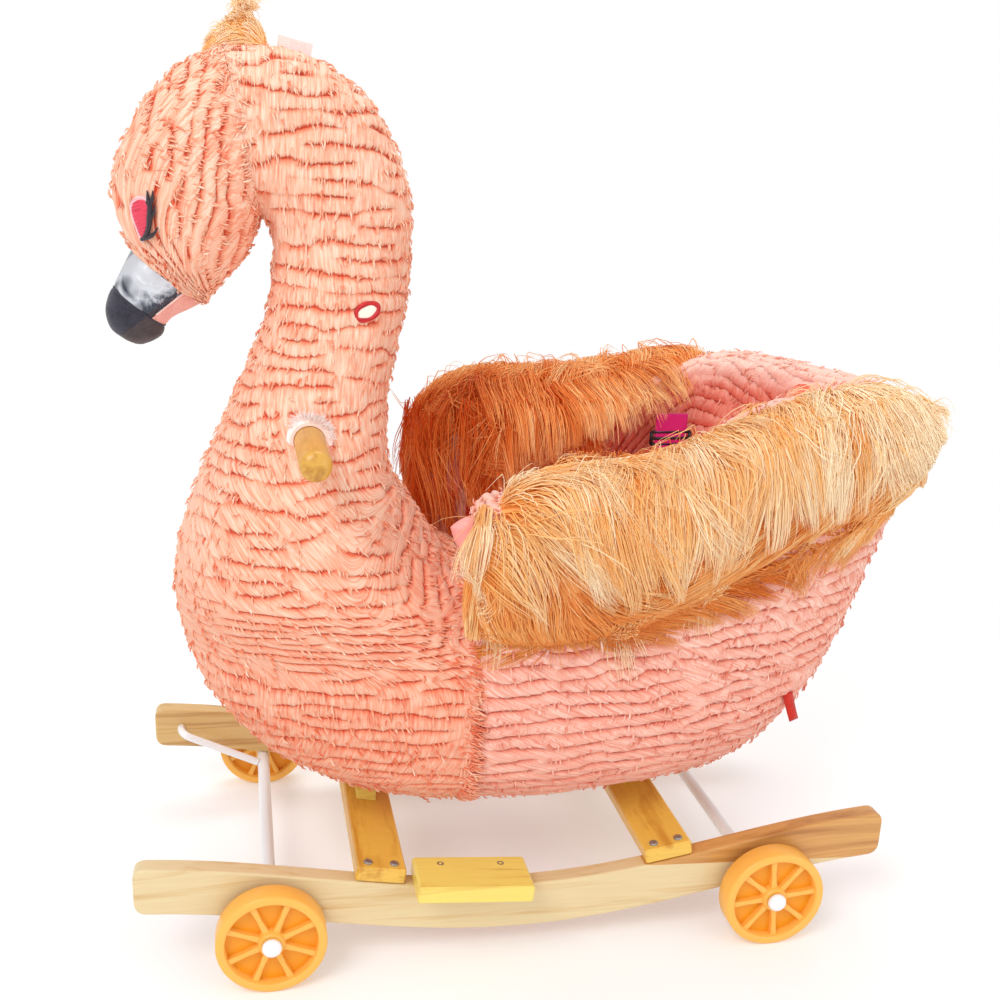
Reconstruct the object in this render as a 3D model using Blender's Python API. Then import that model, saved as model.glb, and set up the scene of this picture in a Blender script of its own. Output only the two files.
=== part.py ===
"""Plush rocking bird on a wooden rocker with two flip-over wheel frames.

Metres, +Z up. The bird looks along -X, and its left side is at -Y. The origin is on the
floor, under the middle of the whole length. Soft parts are stuffed solids, and the timber
frame that carries them lies in slots inside them.
"""
import math

import bmesh
import bpy
from mathutils import Matrix, Vector

GAP = 0.0003                      # air between touching pieces

# Rocker base
ROCKER_X = -0.020                 # middle of the runners
RUNNER_HALF_LENGTH = 0.3255
RUNNER_BOTTOM_Z = 0.0227          # lowest point of the underside, on its wheels
RUNNER_RISE = 0.0436              # how far the S-curve climbs towards each end
RUNNER_CURVE = 0.3614             # half the wave that the edge follows
RUNNER_HEIGHT = 0.0419
RUNNER_THICKNESS = 0.0170
RUNNER_OUTER_Y = 0.1515
RUNNER_CORNER = 0.011             # radius of the rounded ends
BAR_X = (-0.147, 0.107)           # front and rear cross bars
BAR_WIDTH = 0.042
BAR_THICKNESS = 0.0135
BATTEN_WIDTH = 0.018
BATTEN_HALF_LENGTH = 0.042
FOOTREST_X = -0.070
FOOTREST_LENGTH = 0.098
FOOTREST_THICKNESS = 0.0155
FOOTREST_Y = (0.1325, 0.1790)

# Wheel frames
WHEEL_RADIUS = 0.045
WHEEL_WIDTH = 0.020
WHEEL_INNER_Y = 0.158
WHEEL_SEGMENTS = 32
WHEEL_RIBS = 8
RIM_INSIDE = 0.0388
HUB_RADIUS = 0.0105
BORE_RADIUS = 0.0063
AXLE_X = 0.217                    # from the middle of the runners
AXLE_RADIUS = 0.0060
AXLE_WALL = 0.0013
AXLE_HALF_LENGTH = 0.1795
CAP_RADIUS = 0.0079
PIVOT_X = 0.2995                  # from the middle of the runners
PIVOT_Z = 0.0850
ARM_RADIUS = 0.0038
ARM_WELD_Y = 0.120
ARM_BEND = 0.011

# Timber inside the body
SEAM_X = -0.070                   # breast and tub meet here
BASE_BOARD_X = (-0.158, 0.130)
BASE_BOARD_HALF_WIDTH = 0.058
BOARD = 0.012
BASE_BOARD_Z = 0.1280
PEDESTAL_X = (-0.034, 0.100)
SEAT_BOARD_Z = 0.2050
BOX_FRONT_X = -0.052              # the opening that the seat box stands in
BOX_FRONT_HALF = 0.127
BOX_REAR_X = 0.218
BOX_TAPER = 0.1200                # sides close by this much for each metre of length
BACK_LEAN = 0.3400                # tangent of the back's slope
SIDE_BOARD = 0.010
NECK_BOARD = 0.015
NECK_BOARD_OUTLINE = [
    (-0.156, 0.1406), (-0.085, 0.1406), (-0.085, 0.230), (-0.120, 0.320), (-0.150, 0.390),
    (-0.158, 0.470), (-0.168, 0.490), (-0.205, 0.490), (-0.222, 0.470), (-0.238, 0.390),
    (-0.250, 0.300), (-0.235, 0.220), (-0.200, 0.166),
]
HANDLE_X = -0.197
HANDLE_Z = 0.437
HANDLE_RADIUS = 0.01225
HANDLE_HALF_LENGTH = 0.160
COLLAR_Y = 0.0700                 # inner face of the lining rings
COLLAR_RECESS = 0.0205            # radius of the room for them in the neck

# Belt and sound unit
STRAP_X = 0.160
STRAP_WIDTH = 0.032
STRAP_THICKNESS = 0.0016
STRAP_Y = 0.0705
STRAP_TOP_Z = 0.424
SLIDER_Z = 0.400
BUCKLE_Z = 0.2720
BUCKLE_HALF = (0.0215, 0.0058)    # along the strap's width, and up
BUCKLE_JOINT_Y = 0.0040           # where socket and tongue meet
PRONG_LENGTH = 0.0090             # the tongue is free after this travel
PATCH_CENTRE = Vector((-0.150, -0.0585, 0.537))
PATCH_HALF = (0.0115, 0.0078)
PATCH_TILT = math.radians(25)
SOUND_BOX = ((-0.192, -0.0440, 0.5180), (-0.146, -0.0220, 0.5560))
HEAD_LABEL = [(-0.2150, 0.7325), (-0.1890, 0.7265), (-0.1868, 0.7355), (-0.2135, 0.7415)]
HEAD_LABEL_HALF = 0.0005
SIDE_LABEL_Y = (-0.0965, -0.0955)
SIDE_LABEL_Z = (0.186, 0.203)
SIDE_LABEL_REACH = 0.012

# Stuffed shapes. A station is (front or upper point, back or lower point, half width),
# the points as (x, z) of the middle plane.
BREAST_STATIONS = [
    ((-0.122, 0.1120), (0.022, 0.1120), 0.066),
    ((-0.145, 0.1145), (0.045, 0.1145), 0.084),
    ((-0.174, 0.1220), (0.064, 0.1220), 0.099),
    ((-0.205, 0.1350), (0.082, 0.1350), 0.112),
    ((-0.240, 0.1550), (0.097, 0.1550), 0.123),
    ((-0.267, 0.1830), (0.107, 0.1830), 0.131),
    ((-0.289, 0.2150), (0.109, 0.2150), 0.136),
    ((-0.303, 0.2560), (0.096, 0.2560), 0.138),
    ((-0.309, 0.2900), (0.000, 0.2900), 0.136),
    ((-0.308, 0.3120), (-0.062, 0.3120), 0.132),
    ((-0.305, 0.3350), (-0.086, 0.3350), 0.124),
    ((-0.298, 0.3600), (-0.103, 0.3600), 0.114),
]
NECK_STATIONS = [
    ((-0.298, 0.3600), (-0.103, 0.3600), 0.114),
    ((-0.283, 0.3980), (-0.126, 0.3980), 0.095),
    ((-0.265, 0.4370), (-0.129, 0.4370), 0.078),
    ((-0.248, 0.4730), (-0.127, 0.4700), 0.069),
    ((-0.233, 0.5080), (-0.119, 0.5080), 0.063),
    ((-0.223, 0.5450), (-0.112, 0.5480), 0.060),
    ((-0.220, 0.5750), (-0.109, 0.5880), 0.059),
    ((-0.2215, 0.5920), (-0.1105, 0.6260), 0.060),
    ((-0.2230, 0.5970), (-0.1220, 0.6600), 0.061),
    ((-0.2250, 0.6010), (-0.1440, 0.6940), 0.062),
    ((-0.2270, 0.6040), (-0.1760, 0.7190), 0.063),
    ((-0.2290, 0.6060), (-0.2120, 0.7310), 0.064),
    ((-0.2310, 0.6070), (-0.2560, 0.7310), 0.064),
]
HEAD_STATIONS = [
    ((-0.2310, 0.6070), (-0.2560, 0.7310), 0.064),
    ((-0.2370, 0.5860), (-0.2840, 0.7180), 0.066),
    ((-0.2500, 0.5660), (-0.3080, 0.6980), 0.066),
    ((-0.2620, 0.5540), (-0.3260, 0.6730), 0.063),
    ((-0.2710, 0.5450), (-0.3390, 0.6470), 0.057),
    ((-0.2740, 0.5410), (-0.3440, 0.6200), 0.049),
    ((-0.2750, 0.5380), (-0.3400, 0.5980), 0.040),
    ((-0.2760, 0.5360), (-0.3330, 0.5800), 0.031),
]
BEAK_STATIONS = [
    ((-0.2780, 0.5370), (-0.3320, 0.5785), 0.028),
    ((-0.2920, 0.5300), (-0.3420, 0.5600), 0.0265),
    ((-0.3030, 0.5240), (-0.3500, 0.5450), 0.0240),
    ((-0.3080, 0.5180), (-0.3545, 0.5300), 0.0210),
    ((-0.3110, 0.5110), (-0.3510, 0.5165), 0.0170),
    ((-0.3180, 0.5060), (-0.3420, 0.5080), 0.0115),
    ((-0.3260, 0.5030), (-0.3330, 0.5035), 0.0040),
]
TIP_CUT = (Vector((-0.320, 0.0, 0.5270)), Vector((-0.62, 0.0, -0.78)))
MOUTH_CUT = (Vector((-0.300, 0.0, 0.5400)), Vector((0.62, 0.0, -0.78)))
CREST_STATIONS = [
    ((-0.272, 0.715), (-0.218, 0.730), 0.017),
    ((-0.274, 0.728), (-0.216, 0.738), 0.019),
    ((-0.268, 0.744), (-0.220, 0.748), 0.016),
    ((-0.258, 0.755), (-0.228, 0.757), 0.010),
    ((-0.248, 0.760), (-0.238, 0.761), 0.003),
]
# Plan sections of the tub: (height, rear end, middle, half width)
TUB_SECTIONS = [
    (0.1120, 0.140, -0.020, 0.068),
    (0.1145, 0.165, -0.020, 0.086),
    (0.1220, 0.193, -0.020, 0.101),
    (0.1350, 0.221, -0.020, 0.114),
    (0.1550, 0.247, -0.020, 0.126),
    (0.1830, 0.270, -0.025, 0.136),
    (0.2150, 0.289, -0.030, 0.142),
    (0.2600, 0.308, -0.035, 0.147),
    (0.2950, 0.319, -0.040, 0.151),
    (0.3400, 0.331, -0.045, 0.160),
    (0.3800, 0.341, -0.050, 0.169),
    (0.4200, 0.3505, -0.050, 0.174),
    (0.4900, 0.3600, -0.050, 0.178),
]
TUB_POWER = 2.5                   # squareness of those sections
SADDLE_Z = 0.302                  # low front edge of the tub, beside the neck
SADDLE_HALF = 0.106
RIM = [(-0.080, 0.398), (-0.030, 0.402), (0.050, 0.409), (0.110, 0.424), (0.170, 0.444),
       (0.230, 0.458), (0.290, 0.464), (0.330, 0.465), (0.347, 0.460), (0.360, 0.446)]
# Wing sections: (x, inner edge, outer edge, lower edge, ridge)
WING_SECTIONS = [
    (-0.0900, 0.139, 0.164, 0.330, 0.385),
    (-0.0850, 0.120, 0.178, 0.302, 0.408),
    (-0.0700, 0.102, 0.188, 0.287, 0.424),
    (-0.0450, 0.097, 0.193, 0.281, 0.437),
    (-0.0100, 0.094, 0.196, 0.279, 0.445),
    (0.0500, 0.091, 0.195, 0.288, 0.449),
    (0.1000, 0.087, 0.188, 0.305, 0.458),
    (0.1500, 0.081, 0.177, 0.325, 0.470),
    (0.2000, 0.073, 0.163, 0.343, 0.481),
    (0.2450, 0.067, 0.152, 0.355, 0.487),
    (0.2850, 0.066, 0.141, 0.366, 0.484),
    (0.3150, 0.074, 0.128, 0.386, 0.468),
    (0.3270, 0.090, 0.112, 0.408, 0.446),
]
# Lower edge of the wing's inner flap, above the side pads
FLAP_EDGE = [(-0.100, 0.338), (0.020, 0.360), (0.140, 0.408), (0.200, 0.442), (0.300, 0.462)]

SIDES = (("left", -1), ("right", 1))
ENDS = (("front", -1), ("rear", 1))


def clear_scene():
    for thing in list(bpy.data.objects):
        bpy.data.objects.remove(thing, do_unlink=True)


def material(name, colour, roughness, metallic=0.0):
    made = bpy.data.materials.get(name)
    if made is None:
        made = bpy.data.materials.new(name)
        made.use_nodes = True
        shader = made.node_tree.nodes["Principled BSDF"]
        shader.inputs["Base Color"].default_value = (*colour, 1.0)
        shader.inputs["Roughness"].default_value = roughness
        shader.inputs["Metallic"].default_value = metallic
    return made


def finish_mesh(name, bm, surface, smooth_angle=40.0):
    """Turns a bmesh into a named object with outward faces."""
    bmesh.ops.remove_doubles(bm, verts=bm.verts, dist=1e-6)
    bmesh.ops.recalc_face_normals(bm, faces=bm.faces)
    mesh = bpy.data.meshes.new(name)
    bm.to_mesh(mesh)
    bm.free()
    mesh.shade_smooth()
    mesh.set_sharp_from_angle(angle=math.radians(smooth_angle))
    piece = bpy.data.objects.new(name, mesh)
    bpy.context.collection.objects.link(piece)
    if surface is not None:
        mesh.materials.append(surface)
    return piece


def loft(name, rings, surface):
    """Closed solid through rings of points, with flat caps on both ends."""
    bm = bmesh.new()
    rows = [[bm.verts.new(point) for point in ring] for ring in rings]
    count = len(rows[0])
    for row, following in zip(rows, rows[1:]):
        for i in range(count):
            j = (i + 1) % count
            bm.faces.new((row[i], row[j], following[j], following[i]))
    bm.faces.new(rows[0])
    bm.faces.new(rows[-1])
    return finish_mesh(name, bm, surface)


def oval(centre, long_axis, short_axis, count, power=2.0):
    """Points of a superellipse, with both half axes given as vectors."""
    points = []
    for i in range(count):
        angle = 2 * math.pi * i / count
        c = math.cos(angle)
        s = math.sin(angle)
        along = math.copysign(abs(c) ** (2 / power), c)
        across = math.copysign(abs(s) ** (2 / power), s)
        points.append(centre + long_axis * along + short_axis * across)
    return points


def catmull(values, t):
    """Value of a smooth curve through four rows of numbers."""
    before, start, end, after = values
    result = []
    for a, b, c, d in zip(before, start, end, after):
        slope = (c - a) * 0.5
        leave = (d - b) * 0.5
        near = (2 * t ** 3 - 3 * t ** 2 + 1) * b + (t ** 3 - 2 * t ** 2 + t) * slope
        far = (3 * t ** 2 - 2 * t ** 3) * c + (t ** 3 - t ** 2) * leave
        result.append(near + far)
    return result


def refine(rows, steps):
    """More rows between the given ones, on a smooth curve through them."""
    result = []
    last = len(rows) - 1
    for i in range(last):
        four = (rows[max(i - 1, 0)], rows[i], rows[i + 1], rows[min(i + 2, last)])
        for k in range(steps):
            result.append(catmull(four, k / steps))
    result.append(list(rows[-1]))
    return result


def station_rings(stations, count, steps, power, grow=0.0):
    """Rings of a stuffed shape, made larger all round by grow."""
    flat = [(*front, *back, half) for front, back, half in stations]
    rings = []
    for fx, fz, bx, bz, half in refine(flat, steps):
        front = Vector((fx, 0.0, fz))
        back = Vector((bx, 0.0, bz))
        reach = (front - back) * 0.5
        reach = reach * (1 + grow / reach.length)
        side = Vector((0.0, half + grow, 0.0))
        rings.append(oval((front + back) * 0.5, reach, side, count, power))
    return rings


def stuffed(name, stations, surface, count=24, steps=1, power=2.2, grow=0.0, end_shift=None):
    rings = station_rings(stations, count, steps, power, grow)
    if end_shift is not None:
        rings[0] = [point + end_shift for point in rings[0]]
    return loft(name, rings, surface)


def prism(name, outline, y_range, surface):
    """Outline in the XZ plane, pulled along Y."""
    low, high = sorted(y_range)
    rings = [[Vector((x, y, z)) for x, z in outline] for y in (low, high)]
    return loft(name, rings, surface)


def block(name, low, high, surface):
    outline = [(low[0], low[2]), (high[0], low[2]), (high[0], high[2]), (low[0], high[2])]
    return prism(name, outline, (low[1], high[1]), surface)


def turned(name, profile, segments, centre, surface, phase=0.0):
    """Solid of revolution about Y. The profile is (radius, y) pairs, from axis to axis or as
    a closed loop."""
    bm = bmesh.new()
    rows = []
    for radius, y in profile:
        if radius == 0.0:
            rows.append([bm.verts.new(centre + Vector((0.0, y, 0.0)))])
            continue
        row = []
        for i in range(segments):
            angle = 2 * math.pi * (i + phase) / segments
            spot = Vector((radius * math.cos(angle), y, radius * math.sin(angle)))
            row.append(bm.verts.new(centre + spot))
        rows.append(row)
    closed = profile[0][0] > 0.0
    pairs = list(zip(rows, rows[1:]))
    if closed:
        pairs.append((rows[-1], rows[0]))
    for one, two in pairs:
        for i in range(segments):
            j = (i + 1) % segments
            corners = [one[i % len(one)], one[j % len(one)], two[j % len(two)], two[i % len(two)]]
            bm.faces.new(list(dict.fromkeys(corners)))
    return finish_mesh(name, bm, surface)


def bevel(piece, width, segments=1, angle=40.0):
    made = piece.modifiers.new("Bevel", "BEVEL")
    made.width = width
    made.segments = segments
    made.limit_method = "ANGLE"
    made.angle_limit = math.radians(angle)
    made.use_clamp_overlap = True
    made.harden_normals = True


def hide_cutter(cutter):
    cutter.hide_render = True
    cutter.display_type = "WIRE"


def cut(piece, cutter):
    made = piece.modifiers.new("Cut " + cutter.name, "BOOLEAN")
    made.operation = "DIFFERENCE"
    made.object = cutter
    hide_cutter(cutter)


def unite(piece, extra):
    made = piece.modifiers.new("Add " + extra.name, "BOOLEAN")
    made.operation = "UNION"
    made.object = extra
    hide_cutter(extra)


def slice_flat(piece, point, normal):
    """Keeps the side of the plane that the normal points away from, and closes the cut."""
    bm = bmesh.new()
    bm.from_mesh(piece.data)
    everything = bm.verts[:] + bm.edges[:] + bm.faces[:]
    bmesh.ops.bisect_plane(bm, geom=everything, dist=1e-7, plane_co=point, plane_no=normal,
                           clear_outer=True)
    rim = [edge for edge in bm.edges if edge.is_boundary]
    bmesh.ops.holes_fill(bm, edges=rim, sides=0)
    bmesh.ops.recalc_face_normals(bm, faces=bm.faces)
    bm.to_mesh(piece.data)
    bm.free()


def tube(name, points, radius, surface, segments=12):
    """Round rod along a path, with closed ends; its rings lie square to the path."""
    rings = []
    start = (points[1] - points[0]).normalized()
    side = start.orthogonal().normalized()
    last = len(points) - 1
    for i, point in enumerate(points):
        way = (points[min(i + 1, last)] - points[max(i - 1, 0)]).normalized()
        side = (side - way * side.dot(way)).normalized()
        rings.append(oval(point, side * radius, way.cross(side) * radius, segments))
    return loft(name, rings, surface)


def set_origin(piece, point):
    """Moves a piece's own origin, on its joint's axis, and leaves its shape where it is."""
    piece.data.transform(Matrix.Translation(-point))
    piece.location = point


# Rocker base

def runner_edge(x):
    """Height of a runner's underside at x."""
    wave = math.pi * min(abs(x - ROCKER_X) / RUNNER_CURVE, 1.0)
    return RUNNER_BOTTOM_Z + RUNNER_RISE * (1 - math.cos(wave)) / 2


def runner_outline():
    steps = 18
    stretch = RUNNER_HALF_LENGTH - RUNNER_CORNER
    xs = [ROCKER_X - stretch + 2 * stretch * i / steps for i in range(steps + 1)]
    bottom = [(x, runner_edge(x)) for x in xs]
    top = [(x, runner_edge(x) + RUNNER_HEIGHT) for x in reversed(xs)]
    outline = list(bottom)
    outline += round_end(bottom[-1], top[0], 1)
    outline += top
    outline += round_end(top[-1], bottom[0], -1)
    return outline


def round_end(start, end, side):
    """Rounded corners between the underside and the top at one end."""
    points = []
    upward = 1 if end[1] > start[1] else -1
    for corner, first in ((start, 0), (end, 1)):
        for k in range(1, 4):
            angle = math.pi / 2 * (k / 4 if first == 0 else 1 - k / 4)
            x = corner[0] + side * RUNNER_CORNER * math.sin(angle)
            rise = RUNNER_CORNER * (1 - math.cos(angle)) * upward
            z = corner[1] + (rise if first == 0 else -rise)
            points.append((x, z))
        if first == 0:
            reach = side * RUNNER_CORNER
            points.append((corner[0] + reach, corner[1] + upward * RUNNER_CORNER))
            points.append((end[0] + reach, end[1] - upward * RUNNER_CORNER))
    return points


def make_runners(wood):
    outline = runner_outline()
    for side, sign in SIDES:
        inner = RUNNER_OUTER_Y - RUNNER_THICKNESS
        runner = prism("runner_" + side, outline, (sign * inner, sign * RUNNER_OUTER_Y), wood)
        bevel(runner, 0.002)
        for end, way in ENDS:
            centre = Vector((ROCKER_X + way * PIVOT_X, sign * RUNNER_OUTER_Y, PIVOT_Z))
            radius = ARM_RADIUS + GAP
            depth = RUNNER_THICKNESS + 0.004
            bore = [(0.0, -depth), (radius, -depth), (radius, depth), (0.0, depth)]
            cut(runner, turned("hole_%s_%s" % (end, side), bore, 12, centre, None))


def slope_at(x):
    step = 0.001
    return (runner_edge(x + step) - runner_edge(x - step)) / (2 * step)


def tilted_outline(x, width, thickness, lift=GAP):
    """Rectangle standing on the runner's top at x, tilted with it."""
    angle = math.atan(slope_at(x))
    along = Vector((math.cos(angle), math.sin(angle)))
    up = Vector((-math.sin(angle), math.cos(angle)))
    # the top edge is hollow, so a straight board touches it at its two ends
    ends = [x + way * width / 2 * along.x for way in (-1, 1)]
    middle = sum(runner_edge(e) for e in ends) / 2 + RUNNER_HEIGHT
    base = Vector((x, middle)) + up * lift
    corners = []
    for s, t in ((-0.5, 0.0), (0.5, 0.0), (0.5, 1.0), (-0.5, 1.0)):
        corners.append(tuple(base + along * width * s + up * thickness * t))
    return corners


def make_bars(wood):
    for (end, _), x in zip(ENDS, BAR_X):
        corners = tilted_outline(x, BAR_WIDTH, BAR_THICKNESS, 2 * GAP)
        bar = prism(end + "_cross_bar", corners, (-RUNNER_OUTER_Y, RUNNER_OUTER_Y), wood)
        bevel(bar, 0.0015)
        half = BATTEN_WIDTH / 2
        slope = slope_at(x)
        middle = (corners[2][1] + corners[3][1]) / 2 + GAP + 0.0001
        foot = [(x - half, middle - slope * half), (x + half, middle + slope * half)]
        head = [(x + half, BASE_BOARD_Z - GAP), (x - half, BASE_BOARD_Z - GAP)]
        batten = prism(end + "_batten", foot + head, (-BATTEN_HALF_LENGTH, BATTEN_HALF_LENGTH), wood)
        bevel(batten, 0.0008)


def make_footrests(wood):
    outline = tilted_outline(FOOTREST_X, FOOTREST_LENGTH, FOOTREST_THICKNESS, 0.0004)
    for side, sign in SIDES:
        rest = prism("footrest_" + side, outline, [sign * y for y in FOOTREST_Y], wood)
        bevel(rest, 0.002)


# Wheel frames

def wheel_profile():
    """Section of a wheel as a closed loop of (radius, y), y from its middle."""
    outer = WHEEL_RADIUS / math.cos(math.pi / WHEEL_SEGMENTS)
    half = WHEEL_WIDTH / 2
    edge = 0.0015
    web = 0.0015
    draft = 0.001
    return [
        (BORE_RADIUS, -half), (HUB_RADIUS, -half), (HUB_RADIUS + draft, -web),
        (RIM_INSIDE - draft, -web), (RIM_INSIDE, -half), (outer - edge, -half), (outer, -half + edge),
        (outer, half - edge), (outer - edge, half), (RIM_INSIDE, half),
        (RIM_INSIDE - draft, web), (HUB_RADIUS + draft, web), (HUB_RADIUS, half), (BORE_RADIUS, half),
    ]


def wheel_ribs(name, centre, turn):
    """Star of ribs through the web, as one solid with a hole for the hub."""
    half = WHEEL_WIDTH / 2 - 0.0035
    width = 0.0019
    bm = bmesh.new()
    for k in range(WHEEL_RIBS):
        angle = turn + 2 * math.pi * k / WHEEL_RIBS
        out = Vector((math.cos(angle), 0.0, math.sin(angle)))
        side = Vector((-math.sin(angle), 0.0, math.cos(angle)))
        start = HUB_RADIUS - 0.0012
        stop = RIM_INSIDE + 0.0012
        corners = []
        for y in (-half, half):
            for r, w in ((start, -width), (stop, -width), (stop, width), (start, width)):
                corners.append(bm.verts.new(centre + out * r + side * w + Vector((0.0, y, 0.0))))
        for face in ((0, 1, 2, 3), (7, 6, 5, 4), (0, 4, 5, 1), (1, 5, 6, 2), (2, 6, 7, 3), (3, 7, 4, 0)):
            bm.faces.new([corners[i] for i in face])
    return finish_mesh(name, bm, None)


def make_wheel_frames(steel, plastic, white):
    for end, way in ENDS:
        axle_x = ROCKER_X + way * AXLE_X
        pivot = Vector((ROCKER_X + way * PIVOT_X, 0.0, PIVOT_Z))
        hub = Vector((axle_x, 0.0, WHEEL_RADIUS))
        hinge = bpy.data.objects.new(end + "_frame_pivot", None)
        hinge.location = pivot
        bpy.context.collection.objects.link(hinge)
        inside = AXLE_RADIUS - AXLE_WALL
        wall = [(inside, -AXLE_HALF_LENGTH), (AXLE_RADIUS, -AXLE_HALF_LENGTH),
                (AXLE_RADIUS, AXLE_HALF_LENGTH), (inside, AXLE_HALF_LENGTH)]
        attach(turned(end + "_axle", wall, 16, hub, steel), hinge)
        for side, sign in SIDES:
            attach(make_arm("%s_arm_%s" % (end, side), hub, pivot, sign, steel), hinge)
            attach(make_cap("%s_cap_%s" % (end, side), hub, sign, white), hinge)
            wheel = make_wheel("%s_wheel_%s" % (end, side), hub, sign, plastic)
            attach(wheel, hinge)


def attach(piece, holder):
    """Parents a piece to an empty without moving it."""
    piece.parent = holder
    piece.matrix_parent_inverse = holder.matrix_basis.inverted()


def make_wheel(name, hub, sign, plastic):
    centre = hub + Vector((0.0, sign * (WHEEL_INNER_Y + WHEEL_WIDTH / 2), 0.0))
    wheel = turned(name, wheel_profile(), WHEEL_SEGMENTS, centre, plastic, phase=0.5)
    unite(wheel, wheel_ribs(name + "_ribs", centre, math.pi / 2))
    set_origin(wheel, centre)
    return wheel


def make_cap(name, hub, sign, white):
    """Domed cap whose stem plugs the axle tube."""
    start = AXLE_HALF_LENGTH + GAP
    stem = AXLE_RADIUS - AXLE_WALL - GAP
    rim = start + 0.0012
    dome = 0.0045
    plug = start - 0.010
    profile = [(0.0, plug), (stem, plug), (stem, start), (CAP_RADIUS, start), (CAP_RADIUS, rim)]
    for k in (1, 2):
        angle = math.pi / 2 * k / 3
        profile.append((CAP_RADIUS * math.cos(angle), rim + dome * math.sin(angle)))
    profile.append((0.0, rim + dome))
    return turned(name, [(radius, sign * y) for radius, y in profile], 16, hub, white)


def make_arm(name, hub, pivot, sign, steel):
    """Bent rod from the axle tube to the runner's hole."""
    way = (pivot - hub).normalized()
    start = hub + Vector((0.0, sign * ARM_WELD_Y, 0.0)) + way * (AXLE_RADIUS + 0.0005)
    corner = pivot + Vector((0.0, sign * ARM_WELD_Y, 0.0))
    points = [start]
    steps = 4
    for k in range(steps + 1):
        angle = math.pi / 2 * k / steps
        back = ARM_BEND * (1 - math.sin(angle))
        out = ARM_BEND * (1 - math.cos(angle))
        points.append(corner - way * back + Vector((0.0, sign * out, 0.0)))
    points.append(pivot + Vector((0.0, sign * (RUNNER_OUTER_Y - 0.003), 0.0)))
    return tube(name, points, ARM_RADIUS, steel)


# Timber inside the body

def box_half(x):
    """Half width of the seat box opening at x."""
    return BOX_FRONT_HALF - (x - BOX_FRONT_X) * BOX_TAPER


def back_x(z):
    """Rear face of the seat box opening at height z."""
    return BOX_REAR_X + (z - SEAT_BOARD_Z) * BACK_LEAN


def hexahedron(name, corners, surface):
    """Solid from four lower and four upper corners, each counted round."""
    return loft(name, [corners[:4], corners[4:]], surface)


def wedge(name, z_low, z_high, inset, surface, front=None):
    """Solid that fills the seat box opening between two heights."""
    corners = []
    for z in (z_low, z_high):
        x0 = (BOX_FRONT_X if front is None else front) + inset
        x1 = back_x(z) - inset
        for x, sign in ((x0, -1), (x1, -1), (x1, 1), (x0, 1)):
            corners.append(Vector((x, sign * (box_half(x) - inset), z)))
    return hexahedron(name, corners, surface)


def make_boards(ply):
    block("base_board", (BASE_BOARD_X[0], -BASE_BOARD_HALF_WIDTH, BASE_BOARD_Z),
          (BASE_BOARD_X[1], BASE_BOARD_HALF_WIDTH, BASE_BOARD_Z + BOARD), ply)
    for (end, _), x in zip(ENDS, PEDESTAL_X):
        block(end + "_pedestal", (x - BOARD / 2, -BASE_BOARD_HALF_WIDTH, BASE_BOARD_Z + BOARD + GAP),
              (x + BOARD / 2, BASE_BOARD_HALF_WIDTH, SEAT_BOARD_Z - GAP), ply)
    wedge("seat_board", SEAT_BOARD_Z, SEAT_BOARD_Z + BOARD, GAP, ply)
    foot = SEAT_BOARD_Z + BOARD + GAP
    for side, sign in SIDES:
        rear_low = back_x(foot) - 2 * GAP
        outline = [(BOX_FRONT_X + GAP, foot), (rear_low, foot), (back_x(0.435) - 2 * GAP, 0.435),
                   (0.200, 0.432), (0.110, 0.405), (0.030, 0.388), (BOX_FRONT_X + 0.030, 0.382),
                   (BOX_FRONT_X + GAP, 0.360)]
        plate = [[Vector((x, sign * (box_half(x) - GAP - inset), z)) for x, z in outline]
                 for inset in (0.0, SIDE_BOARD)]
        loft("side_board_" + side, plate, ply)
    corners = []
    for z in (foot, 0.430):
        for x in (back_x(z) - GAP - SIDE_BOARD, back_x(z) - GAP):
            half = box_half(x) - SIDE_BOARD - 3 * GAP
            corners.append(Vector((x, -half, z)))
            corners.append(Vector((x, half, z)))
    a, b, c, d, e, f, g, h = corners
    hexahedron("back_board", [a, b, d, c, e, f, h, g], ply)


def grown_outline(outline, by):
    """Outline moved outwards by a small amount, for the slot round a board."""
    count = len(outline)
    result = []
    for i in range(count):
        before = Vector(outline[i - 1])
        here = Vector(outline[i])
        after = Vector(outline[(i + 1) % count])
        one = (here - before).normalized()
        two = (after - here).normalized()
        normal = Vector((one.y + two.y, -(one.x + two.x))).normalized()
        stretch = by / max(normal.dot(Vector((one.y, -one.x))), 0.4)
        result.append(tuple(here + normal * stretch))
    return result


def make_neck_board(ply):
    half = NECK_BOARD / 2
    board = prism("neck_board", NECK_BOARD_OUTLINE, (-half, half), ply)
    cut(board, handle_hole("neck_board_hole"))
    room = grown_outline(NECK_BOARD_OUTLINE, 0.0005)
    return prism("neck_board_slot", room, (-half - GAP, half + GAP), None)


def handle_hole(name):
    radius = HANDLE_RADIUS + GAP
    reach = HANDLE_HALF_LENGTH
    centre = Vector((HANDLE_X, 0.0, HANDLE_Z))
    bore = [(0.0, -reach), (radius, -reach), (radius, reach), (0.0, reach)]
    return turned(name, bore, 20, centre, None)


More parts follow.
